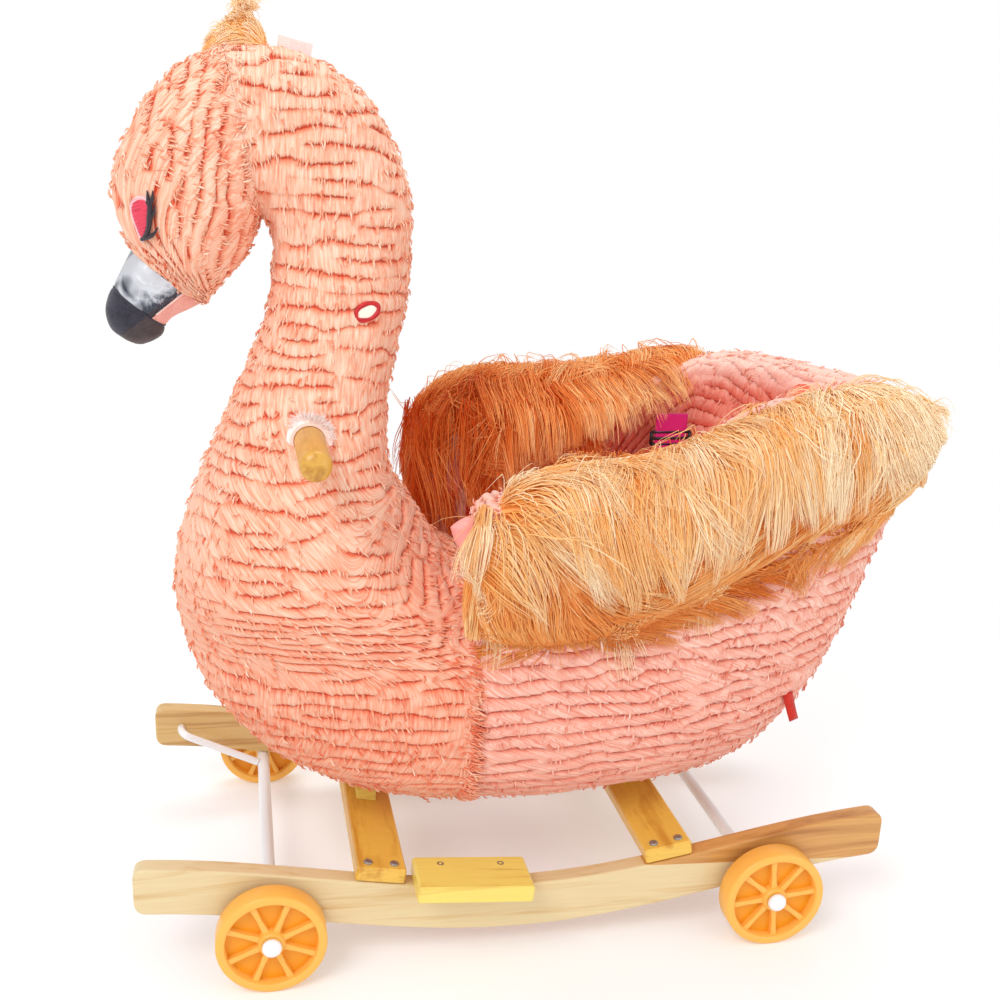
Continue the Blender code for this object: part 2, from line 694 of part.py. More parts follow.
def make_handle(wood, lining):
    centre = Vector((HANDLE_X, 0.0, HANDLE_Z))
    profile = [(0.0, -HANDLE_HALF_LENGTH)]
    nose = 0.006
    for k in (1, 2):
        angle = math.pi / 2 * k / 3
        back = nose * (1 - math.cos(angle))
        profile.append((HANDLE_RADIUS * math.sin(angle) ** 0.7, -HANDLE_HALF_LENGTH + back))
    profile.append((HANDLE_RADIUS, -HANDLE_HALF_LENGTH + nose))
    profile += [(radius, -y) for radius, y in reversed(profile)]
    turned("handle_bar", profile, 20, centre, wood)
    for side, sign in SIDES:
        hole = HANDLE_RADIUS + 2 * GAP
        ring = [(hole, 0.0), (0.0185, 0.0), (0.0200, 0.0030), (0.0190, 0.0070), (0.0160, 0.0090),
                (hole, 0.0080)]
        section = [(radius, sign * (COLLAR_Y + y)) for radius, y in ring]
        turned("handle_collar_" + side, section, 16, centre, lining)


# Stuffed body

def slots_for_base(name, low_x, high_x):
    """Room for the base board and the battens under it."""
    low = (low_x, -BASE_BOARD_HALF_WIDTH - GAP, BASE_BOARD_Z - GAP)
    high = (high_x, BASE_BOARD_HALF_WIDTH + GAP, BASE_BOARD_Z + BOARD + GAP)
    return block(name, low, high, None)


def batten_notch(name, x):
    half = BATTEN_WIDTH / 2 + GAP
    reach = BATTEN_HALF_LENGTH + GAP
    return block(name, (x - half, -reach, 0.080), (x + half, reach, BASE_BOARD_Z + 0.002), None)


def make_front_body(plush, slot):
    breast = stuffed("breast", BREAST_STATIONS, plush, count=28)
    slice_flat(breast, Vector((SEAM_X - GAP, 0.0, 0.0)), Vector((1.0, 0.0, 0.0)))
    cut(breast, slot)
    cut(breast, slots_for_base("breast_board_slot", BASE_BOARD_X[0] - GAP, SEAM_X + 0.010))
    cut(breast, batten_notch("front_batten_notch", BAR_X[0]))
    neck = stuffed("neck", NECK_STATIONS, plush, count=24, end_shift=Vector((0.0, 0.0, GAP)))
    cut(neck, slot)
    cut(neck, handle_hole("neck_hole"))
    centre = Vector((HANDLE_X, 0.0, HANDLE_Z))
    inner = COLLAR_Y - GAP
    outer = COLLAR_Y + 0.040
    recess = [(0.0, inner), (COLLAR_RECESS, inner), (COLLAR_RECESS, outer), (0.0, outer)]
    for side, sign in SIDES:
        section = [(radius, sign * y) for radius, y in recess]
        cut(neck, turned("collar_recess_" + side, section, 16, centre, None))
    return neck


def make_sound_unit(neck, plastic, thread):
    """Sound box inside the neck, and the press patch that works it."""
    low, high = (Vector(corner) for corner in SOUND_BOX)
    block("sound_box", low, high, plastic)
    room = Vector((0.0006, 0.0006, 0.0006))
    cavity = block("sound_box_room", low - room, high + room, None)
    along = Vector((math.cos(PATCH_TILT), 0.0, math.sin(PATCH_TILT)))
    across = Vector((-math.sin(PATCH_TILT), 0.0, math.cos(PATCH_TILT)))
    centre = PATCH_CENTRE
    rings = []
    # the face bulges a little, and the back stays clear of the box by the travel
    for depth, scale in ((0.0090, 0.90), (0.0085, 1.0), (0.0012, 1.0), (0.0, 0.94), (-0.0010, 0.62)):
        place = Vector((centre.x, centre.y + depth, centre.z))
        long_axis = along * PATCH_HALF[0] * scale
        rings.append(oval(place, long_axis, across * PATCH_HALF[1] * scale, 16))
    set_origin(loft("press_patch", rings, thread), centre)
    clearance = 0.0005
    shaft = []
    for y in (-0.075, low.y + 0.001):
        place = Vector((centre.x, y, centre.z))
        long_axis = along * (PATCH_HALF[0] + clearance)
        shaft.append(oval(place, long_axis, across * (PATCH_HALF[1] + clearance), 16))
    cut(neck, cavity)
    cut(neck, loft("patch_shaft", shaft, None))


def make_head(plush, silver, pink, charcoal, fur, label):
    normal = Vector((-0.980, 0.0, -0.198))
    stuffed("head", HEAD_STATIONS, plush, count=24, end_shift=normal * GAP)
    outward = Vector((-0.61, 0.0, -0.79)) * GAP * 2
    for name, surface, cuts in (
        ("beak_upper", silver, ((TIP_CUT, 1), (MOUTH_CUT, 1))),
        ("beak_lower", pink, ((TIP_CUT, 1), (MOUTH_CUT, -1))),
        ("beak_tip", charcoal, ((TIP_CUT, -1),)),
    ):
        piece = stuffed(name, BEAK_STATIONS, surface, count=20, steps=2)
        piece.data.transform(Matrix.Translation(outward))
        for (point, direction), side in cuts:
            slice_flat(piece, point - direction * side * GAP / 2, direction * side)
    crest = stuffed("crest", CREST_STATIONS, fur, count=16, steps=2)
    skull = NECK_STATIONS + HEAD_STATIONS[1:]
    cut(crest, stuffed("skull_shape", skull, None, count=24, grow=2 * GAP))
    prism("head_label", HEAD_LABEL, (-HEAD_LABEL_HALF, HEAD_LABEL_HALF), label)


def tub_rings(grow=0.0):
    rings = []
    for z, rear, middle, half in TUB_SECTIONS:
        low = -grow if z == TUB_SECTIONS[0][0] else 0.0
        centre = Vector((middle, 0.0, z + low))
        reach = Vector((rear - middle + grow, 0.0, 0.0))
        rings.append(oval(centre, reach, Vector((0.0, half + grow, 0.0)), 44, TUB_POWER))
    return rings


def rim_cutter(name, lift):
    """Everything above the rim's wavy edge."""
    edge = [(x, z + lift) for x, z in RIM]
    first = edge[0]
    last = edge[-1]
    past = 0.05
    top = 0.700
    outline = edge + [(last[0] + past, last[1]), (last[0] + past, top), (first[0] - past, top),
                      (first[0] - past, first[1])]
    return prism(name, outline, (-0.25, 0.25), None)


def make_tub(plush):
    tub = loft("seat_tub", tub_rings(), plush)
    slice_flat(tub, Vector((SEAM_X, 0.0, 0.0)), Vector((-1.0, 0.0, 0.0)))
    cut(tub, rim_cutter("tub_rim", 0.0))
    cut(tub, wedge("seat_box_room", SEAT_BOARD_Z - GAP, 0.620, 0.0, None))
    low = (SEAM_X - 0.020, -SADDLE_HALF, SADDLE_Z)
    cut(tub, block("saddle", low, (BOX_FRONT_X + 0.004, SADDLE_HALF, 0.600), None))
    cut(tub, slots_for_base("tub_board_slot", SEAM_X - 0.010, BASE_BOARD_X[1] + GAP))
    cut(tub, batten_notch("rear_batten_notch", BAR_X[1]))
    for (end, _), x in zip(ENDS, PEDESTAL_X):
        half = BOARD / 2 + GAP
        reach = BASE_BOARD_HALF_WIDTH + GAP
        cut(tub, block(end + "_pedestal_room", (x - half, -reach, BASE_BOARD_Z + BOARD - 0.002),
                       (x + half, reach, SEAT_BOARD_Z + 0.002), None))


def make_wings(fur):
    for side, sign in SIDES:
        rings = []
        for x, inner, outer, low, ridge in WING_SECTIONS:
            centre = Vector((x, sign * (inner + outer) / 2, (low + ridge) / 2))
            across = Vector((0.0, (outer - inner) / 2, 0.0))
            rings.append(oval(centre, across, Vector((0.0, 0.0, (ridge - low) / 2)), 20, 2.6))
        wing = loft("wing_" + side, rings, fur)
        core = loft("arm_core_" + side, tub_rings(GAP), None)
        slice_flat(core, Vector((SEAM_X - GAP, 0.0, 0.0)), Vector((-1.0, 0.0, 0.0)))
        inset = SIDE_BOARD + 3 * GAP
        front = BOX_FRONT_X + GAP - inset
        cut(core, wedge("arm_hollow_" + side, 0.150, 0.620, inset, None, front=front))
        cut(core, rim_cutter("arm_rim_" + side, GAP))
        cut(wing, core)
        edge = FLAP_EDGE + [(back_x(0.456), 0.200), (-0.110, 0.200)]
        plate = [[Vector((x, sign * 0.020, z)) for x, z in edge],
                 [Vector((x, sign * (box_half(x) - 0.004), z)) for x, z in edge]]
        cut(wing, loft("flap_edge_" + side, plate, None))


# Inner pads, belt and labels

def cushion(name, corners, normal, thickness, surface, cells=(8, 8), draw_in=0.004, edge_share=0.45):
    """Pad on a flat base, with a crown and with sides that pull in between its corners."""
    a, b, c, d = corners
    bm = bmesh.new()
    across, along = cells
    top = []
    bottom = []
    middle = (a + b + c + d) * 0.25
    for i in range(across + 1):
        u = i / across
        top_row = []
        bottom_row = []
        for j in range(along + 1):
            v = j / along
            point = (a * (1 - u) + b * u) * (1 - v) + (d * (1 - u) + c * u) * v
            pull = math.sin(math.pi * u) * abs(2 * v - 1) ** 6
            pull = draw_in * (pull + math.sin(math.pi * v) * abs(2 * u - 1) ** 6)
            inward = middle - point
            inward = inward - normal * inward.dot(normal)
            if inward.length > 1e-6:
                point = point + inward.normalized() * pull
            swell = (math.sin(math.pi * u) * math.sin(math.pi * v)) ** 0.45
            height = thickness * (edge_share + (1 - edge_share) * swell)
            top_row.append(bm.verts.new(point + normal * height))
            bottom_row.append(bm.verts.new(point))
        top.append(top_row)
        bottom.append(bottom_row)
    for i in range(across):
        for j in range(along):
            bm.faces.new((top[i][j], top[i + 1][j], top[i + 1][j + 1], top[i][j + 1]))
    around = [(i, 0) for i in range(across)] + [(across, j) for j in range(along)]
    around += [(i, along) for i in range(across, 0, -1)] + [(0, j) for j in range(along, 0, -1)]
    for (i, j), (k, m) in zip(around, around[1:] + around[:1]):
        bm.faces.new((top[i][j], bottom[i][j], bottom[k][m], top[k][m]))
    bm.faces.new([bottom[i][j] for i, j in around])
    return finish_mesh(name, bm, surface)


def make_pads(plush):
    foot = SEAT_BOARD_Z + BOARD + 2 * GAP
    pad = 0.018
    inner = SIDE_BOARD + 3 * GAP
    rear = back_x(foot) - SIDE_BOARD - 0.030
    corners = []
    for x, sign in ((BOX_FRONT_X + 0.002, -1), (rear, -1), (rear, 1), (BOX_FRONT_X + 0.002, 1)):
        corners.append(Vector((x, sign * (box_half(x) - inner - pad - 0.001), foot)))
    cushion("seat_cushion", corners, Vector((0, 0, 1)), 0.045, plush, (10, 10))
    for side, sign in SIDES:
        corners = []
        front = BOX_FRONT_X + 0.003
        for x, z in ((front, foot), (0.204, foot), (0.264, 0.432), (front, 0.335)):
            corners.append(Vector((x, sign * (box_half(x) - inner), z)))
        normal = Vector((-BOX_TAPER, -sign, 0.0)).normalized()
        cushion("side_pad_" + side, corners, normal, pad, plush, (8, 6), 0.002, 0.6)
    lean = Vector((-1.0, 0.0, BACK_LEAN)).normalized()
    corners = []
    for half, z in ((-0.064, foot), (0.064, foot), (0.058, 0.455), (-0.058, 0.455)):
        corners.append(Vector((back_x(z) - SIDE_BOARD - 3 * GAP, half, z)))
    cushion("back_pad", corners, lean, 0.028, plush, (8, 10), 0.003, 0.5)


def strap(name, path, surface):
    """Webbing along a path in a plane of constant x."""
    half = STRAP_WIDTH / 2
    rings = []
    for i, (y, z) in enumerate(path):
        before = Vector(path[max(i - 1, 0)])
        after = Vector(path[min(i + 1, len(path) - 1)])
        way = (after - before).normalized()
        normal = Vector((0.0, -way.y, way.x)) * STRAP_THICKNESS / 2
        here = Vector((STRAP_X, y, z))
        wide = Vector((half, 0.0, 0.0))
        rings.append([here - wide - normal, here + wide - normal,
                      here + wide + normal, here - wide + normal])
    return loft(name, rings, surface)


def make_belt(webbing, plastic):
    bend = 0.020
    strap_end = 0.0200
    for side, sign in SIDES:
        path = [(sign * STRAP_Y, z) for z in (STRAP_TOP_Z, 0.345, BUCKLE_Z + bend)]
        for k in range(1, 5):
            angle = math.pi / 2 * k / 4
            y = STRAP_Y - bend * (1 - math.cos(angle))
            path.append((sign * y, BUCKLE_Z + bend * (1 - math.sin(angle))))
        path.append((sign * strap_end, BUCKLE_Z))
        strap("belt_" + side, path, webbing)
    make_buckle(plastic)
    wide = STRAP_WIDTH / 2 + 0.0045
    slider = block("belt_slider", (STRAP_X - wide, STRAP_Y - 0.0022, SLIDER_Z - 0.0065),
                   (STRAP_X + wide, STRAP_Y + 0.0018, SLIDER_Z + 0.0065), plastic)
    cut(slider, strap_slot("slider_slot", (STRAP_Y, SLIDER_Z), (0.0, 0.010)))
    set_origin(slider, Vector((STRAP_X, STRAP_Y, SLIDER_Z)))


def strap_slot(name, centre, reach):
    """Room for the webbing, running up or sideways through a piece of the belt."""
    half = STRAP_WIDTH / 2 + 0.0005
    thin = STRAP_THICKNESS / 2 + GAP
    dy = reach[0] if reach[0] > 0 else thin
    dz = reach[1] if reach[1] > 0 else thin
    y, z = centre
    return block(name, (STRAP_X - half, y - dy, z - dz), (STRAP_X + half, y + dy, z + dz), None)


def make_buckle(plastic):
    """Socket on the left strap, and the tongue that pulls out of it on the right one."""
    half, thick = BUCKLE_HALF
    joint = BUCKLE_JOINT_Y
    pocket_half = 0.0145
    pocket_thick = 0.0032
    body = block("buckle_body", (STRAP_X - half, -0.0270, BUCKLE_Z - thick),
                 (STRAP_X + half, joint, BUCKLE_Z + thick), plastic)
    bevel(body, 0.002)
    depth = joint - PRONG_LENGTH
    cut(body, block("buckle_pocket", (STRAP_X - pocket_half, depth, BUCKLE_Z - pocket_thick),
                    (STRAP_X + pocket_half, joint + 0.006, BUCKLE_Z + pocket_thick), None))
    cut(body, strap_slot("body_slot", (-0.0275, BUCKLE_Z), (0.0090, 0.0)))
    start = joint + GAP
    tongue = block("buckle_tongue", (STRAP_X - half, start, BUCKLE_Z - thick),
                   (STRAP_X + half, 0.0300, BUCKLE_Z + thick), plastic)
    bevel(tongue, 0.002)
    wide = pocket_half - GAP
    high = pocket_thick - GAP
    prong = block("buckle_prong", (STRAP_X - wide, depth + GAP, BUCKLE_Z - high),
                  (STRAP_X + wide, start + 0.003, BUCKLE_Z + high), None)
    unite(tongue, prong)
    cut(tongue, strap_slot("tongue_slot", (0.0250, BUCKLE_Z), (0.0155, 0.0)))
    set_origin(tongue, Vector((STRAP_X, joint, BUCKLE_Z)))


def tub_surface_x(y, z):
    """Rear surface of the tub at a side distance and a height."""
    sections = TUB_SECTIONS
    for lower, upper in zip(sections, sections[1:]):
        if lower[0] <= z <= upper[0]:
            t = (z - lower[0]) / (upper[0] - lower[0])
            _, rear, middle, half = [a + (b - a) * t for a, b in zip(lower, upper)]
            share = 1 - (abs(y) / half) ** TUB_POWER
            return middle + (rear - middle) * share ** (1 / TUB_POWER)
    return sections[-1][1]


def make_side_label(label):
    """Folded tape sewn in low at the rear, standing out from the tub."""
    inner = [(tub_surface_x(SIDE_LABEL_Y[1], z) + 2 * GAP, z) for z in SIDE_LABEL_Z]
    (low_x, low_z), (high_x, high_z) = inner
    outer = [(high_x + SIDE_LABEL_REACH, high_z - 0.006), (low_x + SIDE_LABEL_REACH, low_z - 0.008)]
    prism("side_label", inner + outer, SIDE_LABEL_Y, label)


def main():
    clear_scene()
    pale_wood = material("pale_wood", (0.80, 0.62, 0.36), 0.35)
    gold_wood = material("gold_wood", (0.76, 0.48, 0.18), 0.35)
    plywood = material("plywood", (0.70, 0.52, 0.32), 0.6)
    white_steel = material("white_steel", (0.86, 0.87, 0.88), 0.3, 0.2)
    yellow_plastic = material("yellow_plastic", (0.90, 0.46, 0.06), 0.35)
    white_plastic = material("white_plastic", (0.88, 0.89, 0.90), 0.3)
    black_plastic = material("black_plastic", (0.02, 0.02, 0.03), 0.4)
    plush = material("coral_plush", (0.92, 0.46, 0.33), 0.95)
    fur = material("blonde_fur", (0.88, 0.58, 0.32), 0.9)
    silver = material("silver_fabric", (0.78, 0.80, 0.83), 0.25, 0.8)
    pink = material("pink_fabric", (0.87, 0.45, 0.38), 0.6)
    charcoal = material("charcoal_felt", (0.07, 0.065, 0.08), 0.95)
    lining = material("white_lining", (0.90, 0.84, 0.80), 0.95)
    thread = material("red_thread", (0.70, 0.03, 0.04), 0.7)
    webbing = material("magenta_webbing", (0.62, 0.0, 0.20), 0.7)
    make_runners(pale_wood)
    make_bars(gold_wood)
    make_footrests(gold_wood)
    make_wheel_frames(white_steel, yellow_plastic, white_plastic)
    make_boards(plywood)
    slot = make_neck_board(plywood)
    make_handle(gold_wood, lining)
    neck = make_front_body(plush, slot)
    make_sound_unit(neck, white_plastic, thread)
    make_head(plush, silver, pink, charcoal, fur, lining)
    make_tub(plush)
    make_wings(fur)
    make_pads(plush)
    make_belt(webbing, black_plastic)
    make_side_label(thread)


main()
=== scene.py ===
"""Looks of the plush rocking bird: banded plush, long fur, wood, painted steel and plastic.

The skins are made from the same section tables as the stuffed solids under them. Metres, +Z up.
"""
import math

import bmesh
import bpy
import numpy as np
from mathutils import Matrix, Vector


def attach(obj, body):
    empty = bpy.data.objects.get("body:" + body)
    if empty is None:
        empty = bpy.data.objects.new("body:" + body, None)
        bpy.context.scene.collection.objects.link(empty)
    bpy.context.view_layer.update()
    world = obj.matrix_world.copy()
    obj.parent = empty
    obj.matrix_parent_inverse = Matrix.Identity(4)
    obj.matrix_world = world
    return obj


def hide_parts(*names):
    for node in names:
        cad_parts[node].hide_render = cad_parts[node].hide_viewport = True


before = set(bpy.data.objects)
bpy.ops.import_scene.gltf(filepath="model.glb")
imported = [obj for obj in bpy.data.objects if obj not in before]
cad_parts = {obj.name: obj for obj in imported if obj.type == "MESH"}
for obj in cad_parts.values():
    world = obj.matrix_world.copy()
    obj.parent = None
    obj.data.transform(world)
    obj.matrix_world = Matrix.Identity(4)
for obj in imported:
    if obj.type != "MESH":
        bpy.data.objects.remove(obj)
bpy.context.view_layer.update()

SIDES = (("left", -1), ("right", 1))
ENDS = (("front", -1), ("rear", 1))
TAU = 2 * math.pi

# Camera, solved from the photograph
CAMERA_PLACE = Vector((-0.2483, -0.9880, 0.6578))
CAMERA_PITCH = 0.3059
CAMERA_YAW = 0.1891
CAMERA_ROLL = 0.0301
FOCAL_PIXELS = 1173.5
CENTRE_PIXEL = (459.93, 524.42)

# Rocker base and wheels, as in the solids
ROCKER_X = -0.020
RUNNER_HALF_LENGTH = 0.3255
RUNNER_BOTTOM_Z = 0.0227
RUNNER_RISE = 0.0436
RUNNER_CURVE = 0.3614
RUNNER_HEIGHT = 0.0419
RUNNER_THICKNESS = 0.0170
RUNNER_OUTER_Y = 0.1515
RUNNER_CORNER = 0.011
BAR_X = (-0.147, 0.107)
BAR_THICKNESS = 0.0135
FOOTREST_X = -0.070
FOOTREST_THICKNESS = 0.0155
AXLE_X = 0.217
WHEEL_RADIUS = 0.045
WHEEL_Y = 0.168
WHEEL_HALF = 0.010
SPOKE_TURN = (1.98, 1.669)        # front and rear wheels, as they stand in the photograph

# Seat box
SEAM_X = -0.070
BOX_FRONT_X = -0.052
BOX_FRONT_HALF = 0.127
BOX_TAPER = 0.12
SEAT_TOP_Z = 0.2175
BACK_LEAN = 0.34
BOARD_WALL = 0.0125
AXLE_UP = (0.2733, 0.1764)        # (x, z) of the rear axle when its frame is flipped up

PAD_FRONT_X = -0.0505
PAD_INNER_Y = 0.0670
PAD_OUTER_Y = 0.1200
PAD_TOP_Z = 0.4330

HANDLE = Vector((-0.197, 0.0, 0.437))
HANDLE_RADIUS = 0.01225
HANDLE_HALF_LENGTH = 0.160
COLLAR_Y = 0.070
PATCH_CENTRE = Vector((-0.150, -0.0585, 0.537))
PATCH_HALF = (0.0115, 0.0078)
PATCH_TILT = math.radians(25)
EYE_CENTRE = (-0.3195, 0.6070)
STRAP_X = 0.160
STRAP_Y = 0.0705
BUCKLE_Z = 0.272
SLIDER_Z = 0.400

# Stuffed shapes. A station is (front or upper x, z, back or lower x, z, half width).
BODY_STATIONS = [
    (-0.122, 0.1120, 0.022, 0.1120, 0.066), (-0.145, 0.1145, 0.045, 0.1145, 0.084),
    (-0.174, 0.1220, 0.064, 0.1220, 0.099), (-0.205, 0.1350, 0.082, 0.1350, 0.112),
    (-0.240, 0.1550, 0.097, 0.1550, 0.123), (-0.267, 0.1830, 0.107, 0.1830, 0.131),
    (-0.289, 0.2150, 0.109, 0.2150, 0.136), (-0.303, 0.2560, 0.096, 0.2560, 0.138),
    (-0.309, 0.2900, 0.000, 0.2900, 0.136), (-0.308, 0.3120, -0.062, 0.3120, 0.132),
    (-0.305, 0.3350, -0.086, 0.3350, 0.124), (-0.298, 0.3600, -0.103, 0.3600, 0.114),
    (-0.283, 0.3980, -0.126, 0.3980, 0.095), (-0.265, 0.4370, -0.129, 0.4370, 0.078),
    (-0.248, 0.4730, -0.127, 0.4700, 0.069), (-0.233, 0.5080, -0.119, 0.5080, 0.063),
    (-0.223, 0.5450, -0.112, 0.5480, 0.060), (-0.220, 0.5750, -0.109, 0.5880, 0.059),
    (-0.2215, 0.5920, -0.1105, 0.6260, 0.060), (-0.2230, 0.5970, -0.1220, 0.6600, 0.061),
    (-0.2250, 0.6010, -0.1440, 0.6940, 0.062), (-0.2270, 0.6040, -0.1760, 0.7190, 0.063),
    (-0.2290, 0.6060, -0.2120, 0.7310, 0.064), (-0.2310, 0.6070, -0.2560, 0.7310, 0.064),
]
ARCH_Z = 0.546                    # above this the bands on the neck stay level
BODY_BAND = 0.0142                # width of the plush bands
HEAD_BAND = 0.0125
TUB_BAND = 0.0130
HEAD_STATIONS = [
    (-0.2310, 0.6070, -0.2560, 0.7310, 0.064), (-0.2370, 0.5860, -0.2840, 0.7180, 0.066),
    (-0.2500, 0.5660, -0.3080, 0.6980, 0.066), (-0.2620, 0.5540, -0.3260, 0.6730, 0.063),
    (-0.2710, 0.5450, -0.3390, 0.6470, 0.057), (-0.2740, 0.5410, -0.3440, 0.6200, 0.049),
    (-0.2750, 0.5380, -0.3400, 0.5980, 0.040), (-0.2760, 0.5360, -0.3330, 0.5800, 0.031),
]
BEAK_STATIONS = [
    (-0.2780, 0.5370, -0.3320, 0.5785, 0.028), (-0.2920, 0.5300, -0.3420, 0.5600, 0.0265),
    (-0.3030, 0.5240, -0.3500, 0.5450, 0.0240), (-0.3080, 0.5180, -0.3545, 0.5300, 0.0210),
    (-0.3110, 0.5110, -0.3510, 0.5165, 0.0170), (-0.3180, 0.5060, -0.3420, 0.5080, 0.0115),
    (-0.3260, 0.5030, -0.3330, 0.5035, 0.0040),
]
TIP_CUT = (Vector((-0.320, 0.0, 0.5270)), Vector((-0.62, 0.0, -0.78)))
MOUTH_CUT = (Vector((-0.300, 0.0, 0.5400)), Vector((0.62, 0.0, -0.78)))
ROLL_OUTLINE = [(-0.083, 0.366), (-0.070, 0.375), (-0.054, 0.377), (-0.044, 0.369), (-0.045, 0.352),
                (-0.058, 0.342), (-0.075, 0.348)]
CREST_STATIONS = [
    (-0.271, 0.715, -0.219, 0.730, 0.017), (-0.271, 0.728, -0.219, 0.736, 0.017),
    (-0.262, 0.741, -0.224, 0.745, 0.013), (-0.253, 0.752, -0.230, 0.753, 0.009),
    (-0.246, 0.760, -0.238, 0.761, 0.003),
]
# Tub sections: (height, rear end, middle, half width)
TUB_SECTIONS = [
    (0.1120, 0.140, -0.020, 0.068), (0.1145, 0.165, -0.020, 0.086), (0.1220, 0.193, -0.020, 0.101),
    (0.1350, 0.221, -0.020, 0.114), (0.1550, 0.247, -0.020, 0.126), (0.1830, 0.270, -0.025, 0.136),
    (0.2150, 0.289, -0.030, 0.142), (0.2600, 0.308, -0.035, 0.147), (0.2950, 0.319, -0.040, 0.151),
    (0.3400, 0.331, -0.045, 0.160), (0.3800, 0.341, -0.050, 0.169), (0.4200, 0.3505, -0.050, 0.174),
    (0.4900, 0.3600, -0.050, 0.178),
]
TUB_POWER = 2.5
RIM_ROLL = 0.012                  # height of the roll along the rim
SADDLE_Z = 0.302
SADDLE_HALF = 0.106
TUB_CENTRE = 0.060
RIM = [(-0.080, 0.398), (-0.030, 0.402), (0.050, 0.409), (0.110, 0.426), (0.160, 0.448),
       (0.200, 0.465), (0.235, 0.476), (0.265, 0.476), (0.300, 0.468), (0.347, 0.462), (0.360, 0.448)]
# Wing sections: (x, inner edge, outer edge, lower edge, ridge). The left one is pressed lower at
# the front, and the right one stays outside the rim at the rear, as in the photograph.
WING_SECTIONS = {
    "left": [
        (-0.0820, 0.139, 0.164, 0.325, 0.360), (-0.0775, 0.122, 0.178, 0.298, 0.380),
        (-0.0640, 0.104, 0.188, 0.285, 0.400), (-0.0420, 0.097, 0.193, 0.281, 0.418),
        (-0.0100, 0.094, 0.196, 0.279, 0.430), (0.0500, 0.091, 0.195, 0.288, 0.434),
        (0.1000, 0.087, 0.188, 0.305, 0.447), (0.1500, 0.081, 0.177, 0.325, 0.463),
        (0.2000, 0.073, 0.163, 0.343, 0.478), (0.2450, 0.067, 0.152, 0.355, 0.486),
        (0.2850, 0.066, 0.141, 0.366, 0.484), (0.3150, 0.074, 0.128, 0.386, 0.468),
        (0.3270, 0.090, 0.112, 0.408, 0.446),
    ],
    "right": [
        (-0.0900, 0.136, 0.164, 0.325, 0.396), (-0.0850, 0.118, 0.178, 0.302, 0.418),
        (-0.0700, 0.102, 0.188, 0.287, 0.438), (-0.0450, 0.097, 0.193, 0.281, 0.452),
        (-0.0100, 0.094, 0.196, 0.279, 0.461), (0.0500, 0.091, 0.195, 0.288, 0.462),
        (0.1000, 0.087, 0.188, 0.305, 0.468), (0.1500, 0.083, 0.177, 0.325, 0.478),
        (0.1900, 0.092, 0.168, 0.340, 0.482), (0.2300, 0.118, 0.162, 0.355, 0.472),
        (0.2850, 0.106, 0.144, 0.366, 0.458), (0.3150, 0.088, 0.126, 0.386, 0.450),
        (0.3270, 0.082, 0.108, 0.400, 0.440),
    ],
}
WING_POWER = 2.6
WING_PILE_INSET = 0.009           # the pile grows this far inside the sections of a wing
WING_BACKING_INSET = 0.0105
CREST_TOP = 0.779

# Radii of strands
TUFT_STRAND = 0.00078
WING_STRAND = 0.00056
FRINGE_STRAND = 0.00060
WISP_STRAND = 0.00045
CREST_STRAND = 0.00055
LINING_STRAND = 0.00050


# Noise and curves in numbers

def hashed(x, y, z, seed):
    """Repeatable numbers from -1 to 1 for whole coordinates."""
    h = (x * 73856093) ^ (y * 19349663) ^ (z * 83492791) ^ (seed * 40503 + 977)
    h = ((h ^ (h >> 15)) & 0xFFFFFFFF) * 73244475 & 0xFFFFFFFF
    h = (h ^ (h >> 13)) * 73244475 & 0xFFFFFFFF
    h = h ^ (h >> 16)
    return (h & 0xFFFFFF) / 0x7FFFFF - 1.0


def noise(points, size, seed=0):
    """Smooth noise from -1 to 1; size is its wavelength in metres."""
    scaled = points / size
    base = np.floor(scaled).astype(np.int64)
    part = scaled - base
    part = part * part * (3 - 2 * part)
    total = 0.0
    for dx in (0, 1):
        wx = part[..., 0] if dx else 1 - part[..., 0]
        for dy in (0, 1):
            wy = part[..., 1] if dy else 1 - part[..., 1]
            for dz in (0, 1):
                wz = part[..., 2] if dz else 1 - part[..., 2]
                total = total + wx * wy * wz * hashed(
                    base[..., 0] + dx, base[..., 1] + dy, base[..., 2] + dz, seed)
    return total


def smooth_step(value, low, high):
    t = np.clip((value - low) / (high - low), 0, 1)
    return t * t * (3 - 2 * t)


def smooth_path(rows, steps):
    """More rows between the given ones, on a smooth curve through them."""
    rows = np.asarray(rows, float)
    last = len(rows) - 1
    made = []
    for i in range(last):
        a, b, c, d = rows[max(i - 1, 0)], rows[i], rows[i + 1], rows[min(i + 2, last)]
        for t in np.arange(steps) / steps:
            made.append((2 * t ** 3 - 3 * t ** 2 + 1) * b + (t ** 3 - 2 * t ** 2 + t) * (c - a) / 2
                        + (3 * t ** 2 - 2 * t ** 3) * c + (t ** 3 - t ** 2) * (d - b) / 2)
    made.append(rows[last])
    return np.array(made)


def resample(rows, distance, at):
    """Rows at the distances in `at`, from rows whose distances are known."""
    return np.stack([np.interp(at, distance, rows[:, k]) for k in range(rows.shape[1])], 1)


def even_ring(points, count):
    """Evenly spaced points on a closed ring."""
    closed = np.vstack([points, points[:1]])
    distance = np.concatenate([[0], np.cumsum(np.linalg.norm(np.diff(closed, axis=0), axis=1))])
    return resample(closed, distance, np.arange(count) / count * distance[-1])


def oval_ring(centre, long_axis, short_axis, power, count):
    """Evenly spaced superellipse that starts at the far end of its long axis."""
    turn = np.arange(count * 3) / (count * 3) * TAU + math.pi
    along = np.sign(np.cos(turn)) * np.abs(np.cos(turn)) ** (2 / power)
    across = np.sign(np.sin(turn)) * np.abs(np.sin(turn)) ** (2 / power)
    return even_ring(centre + np.outer(along, long_axis) + np.outer(across, short_axis), count)


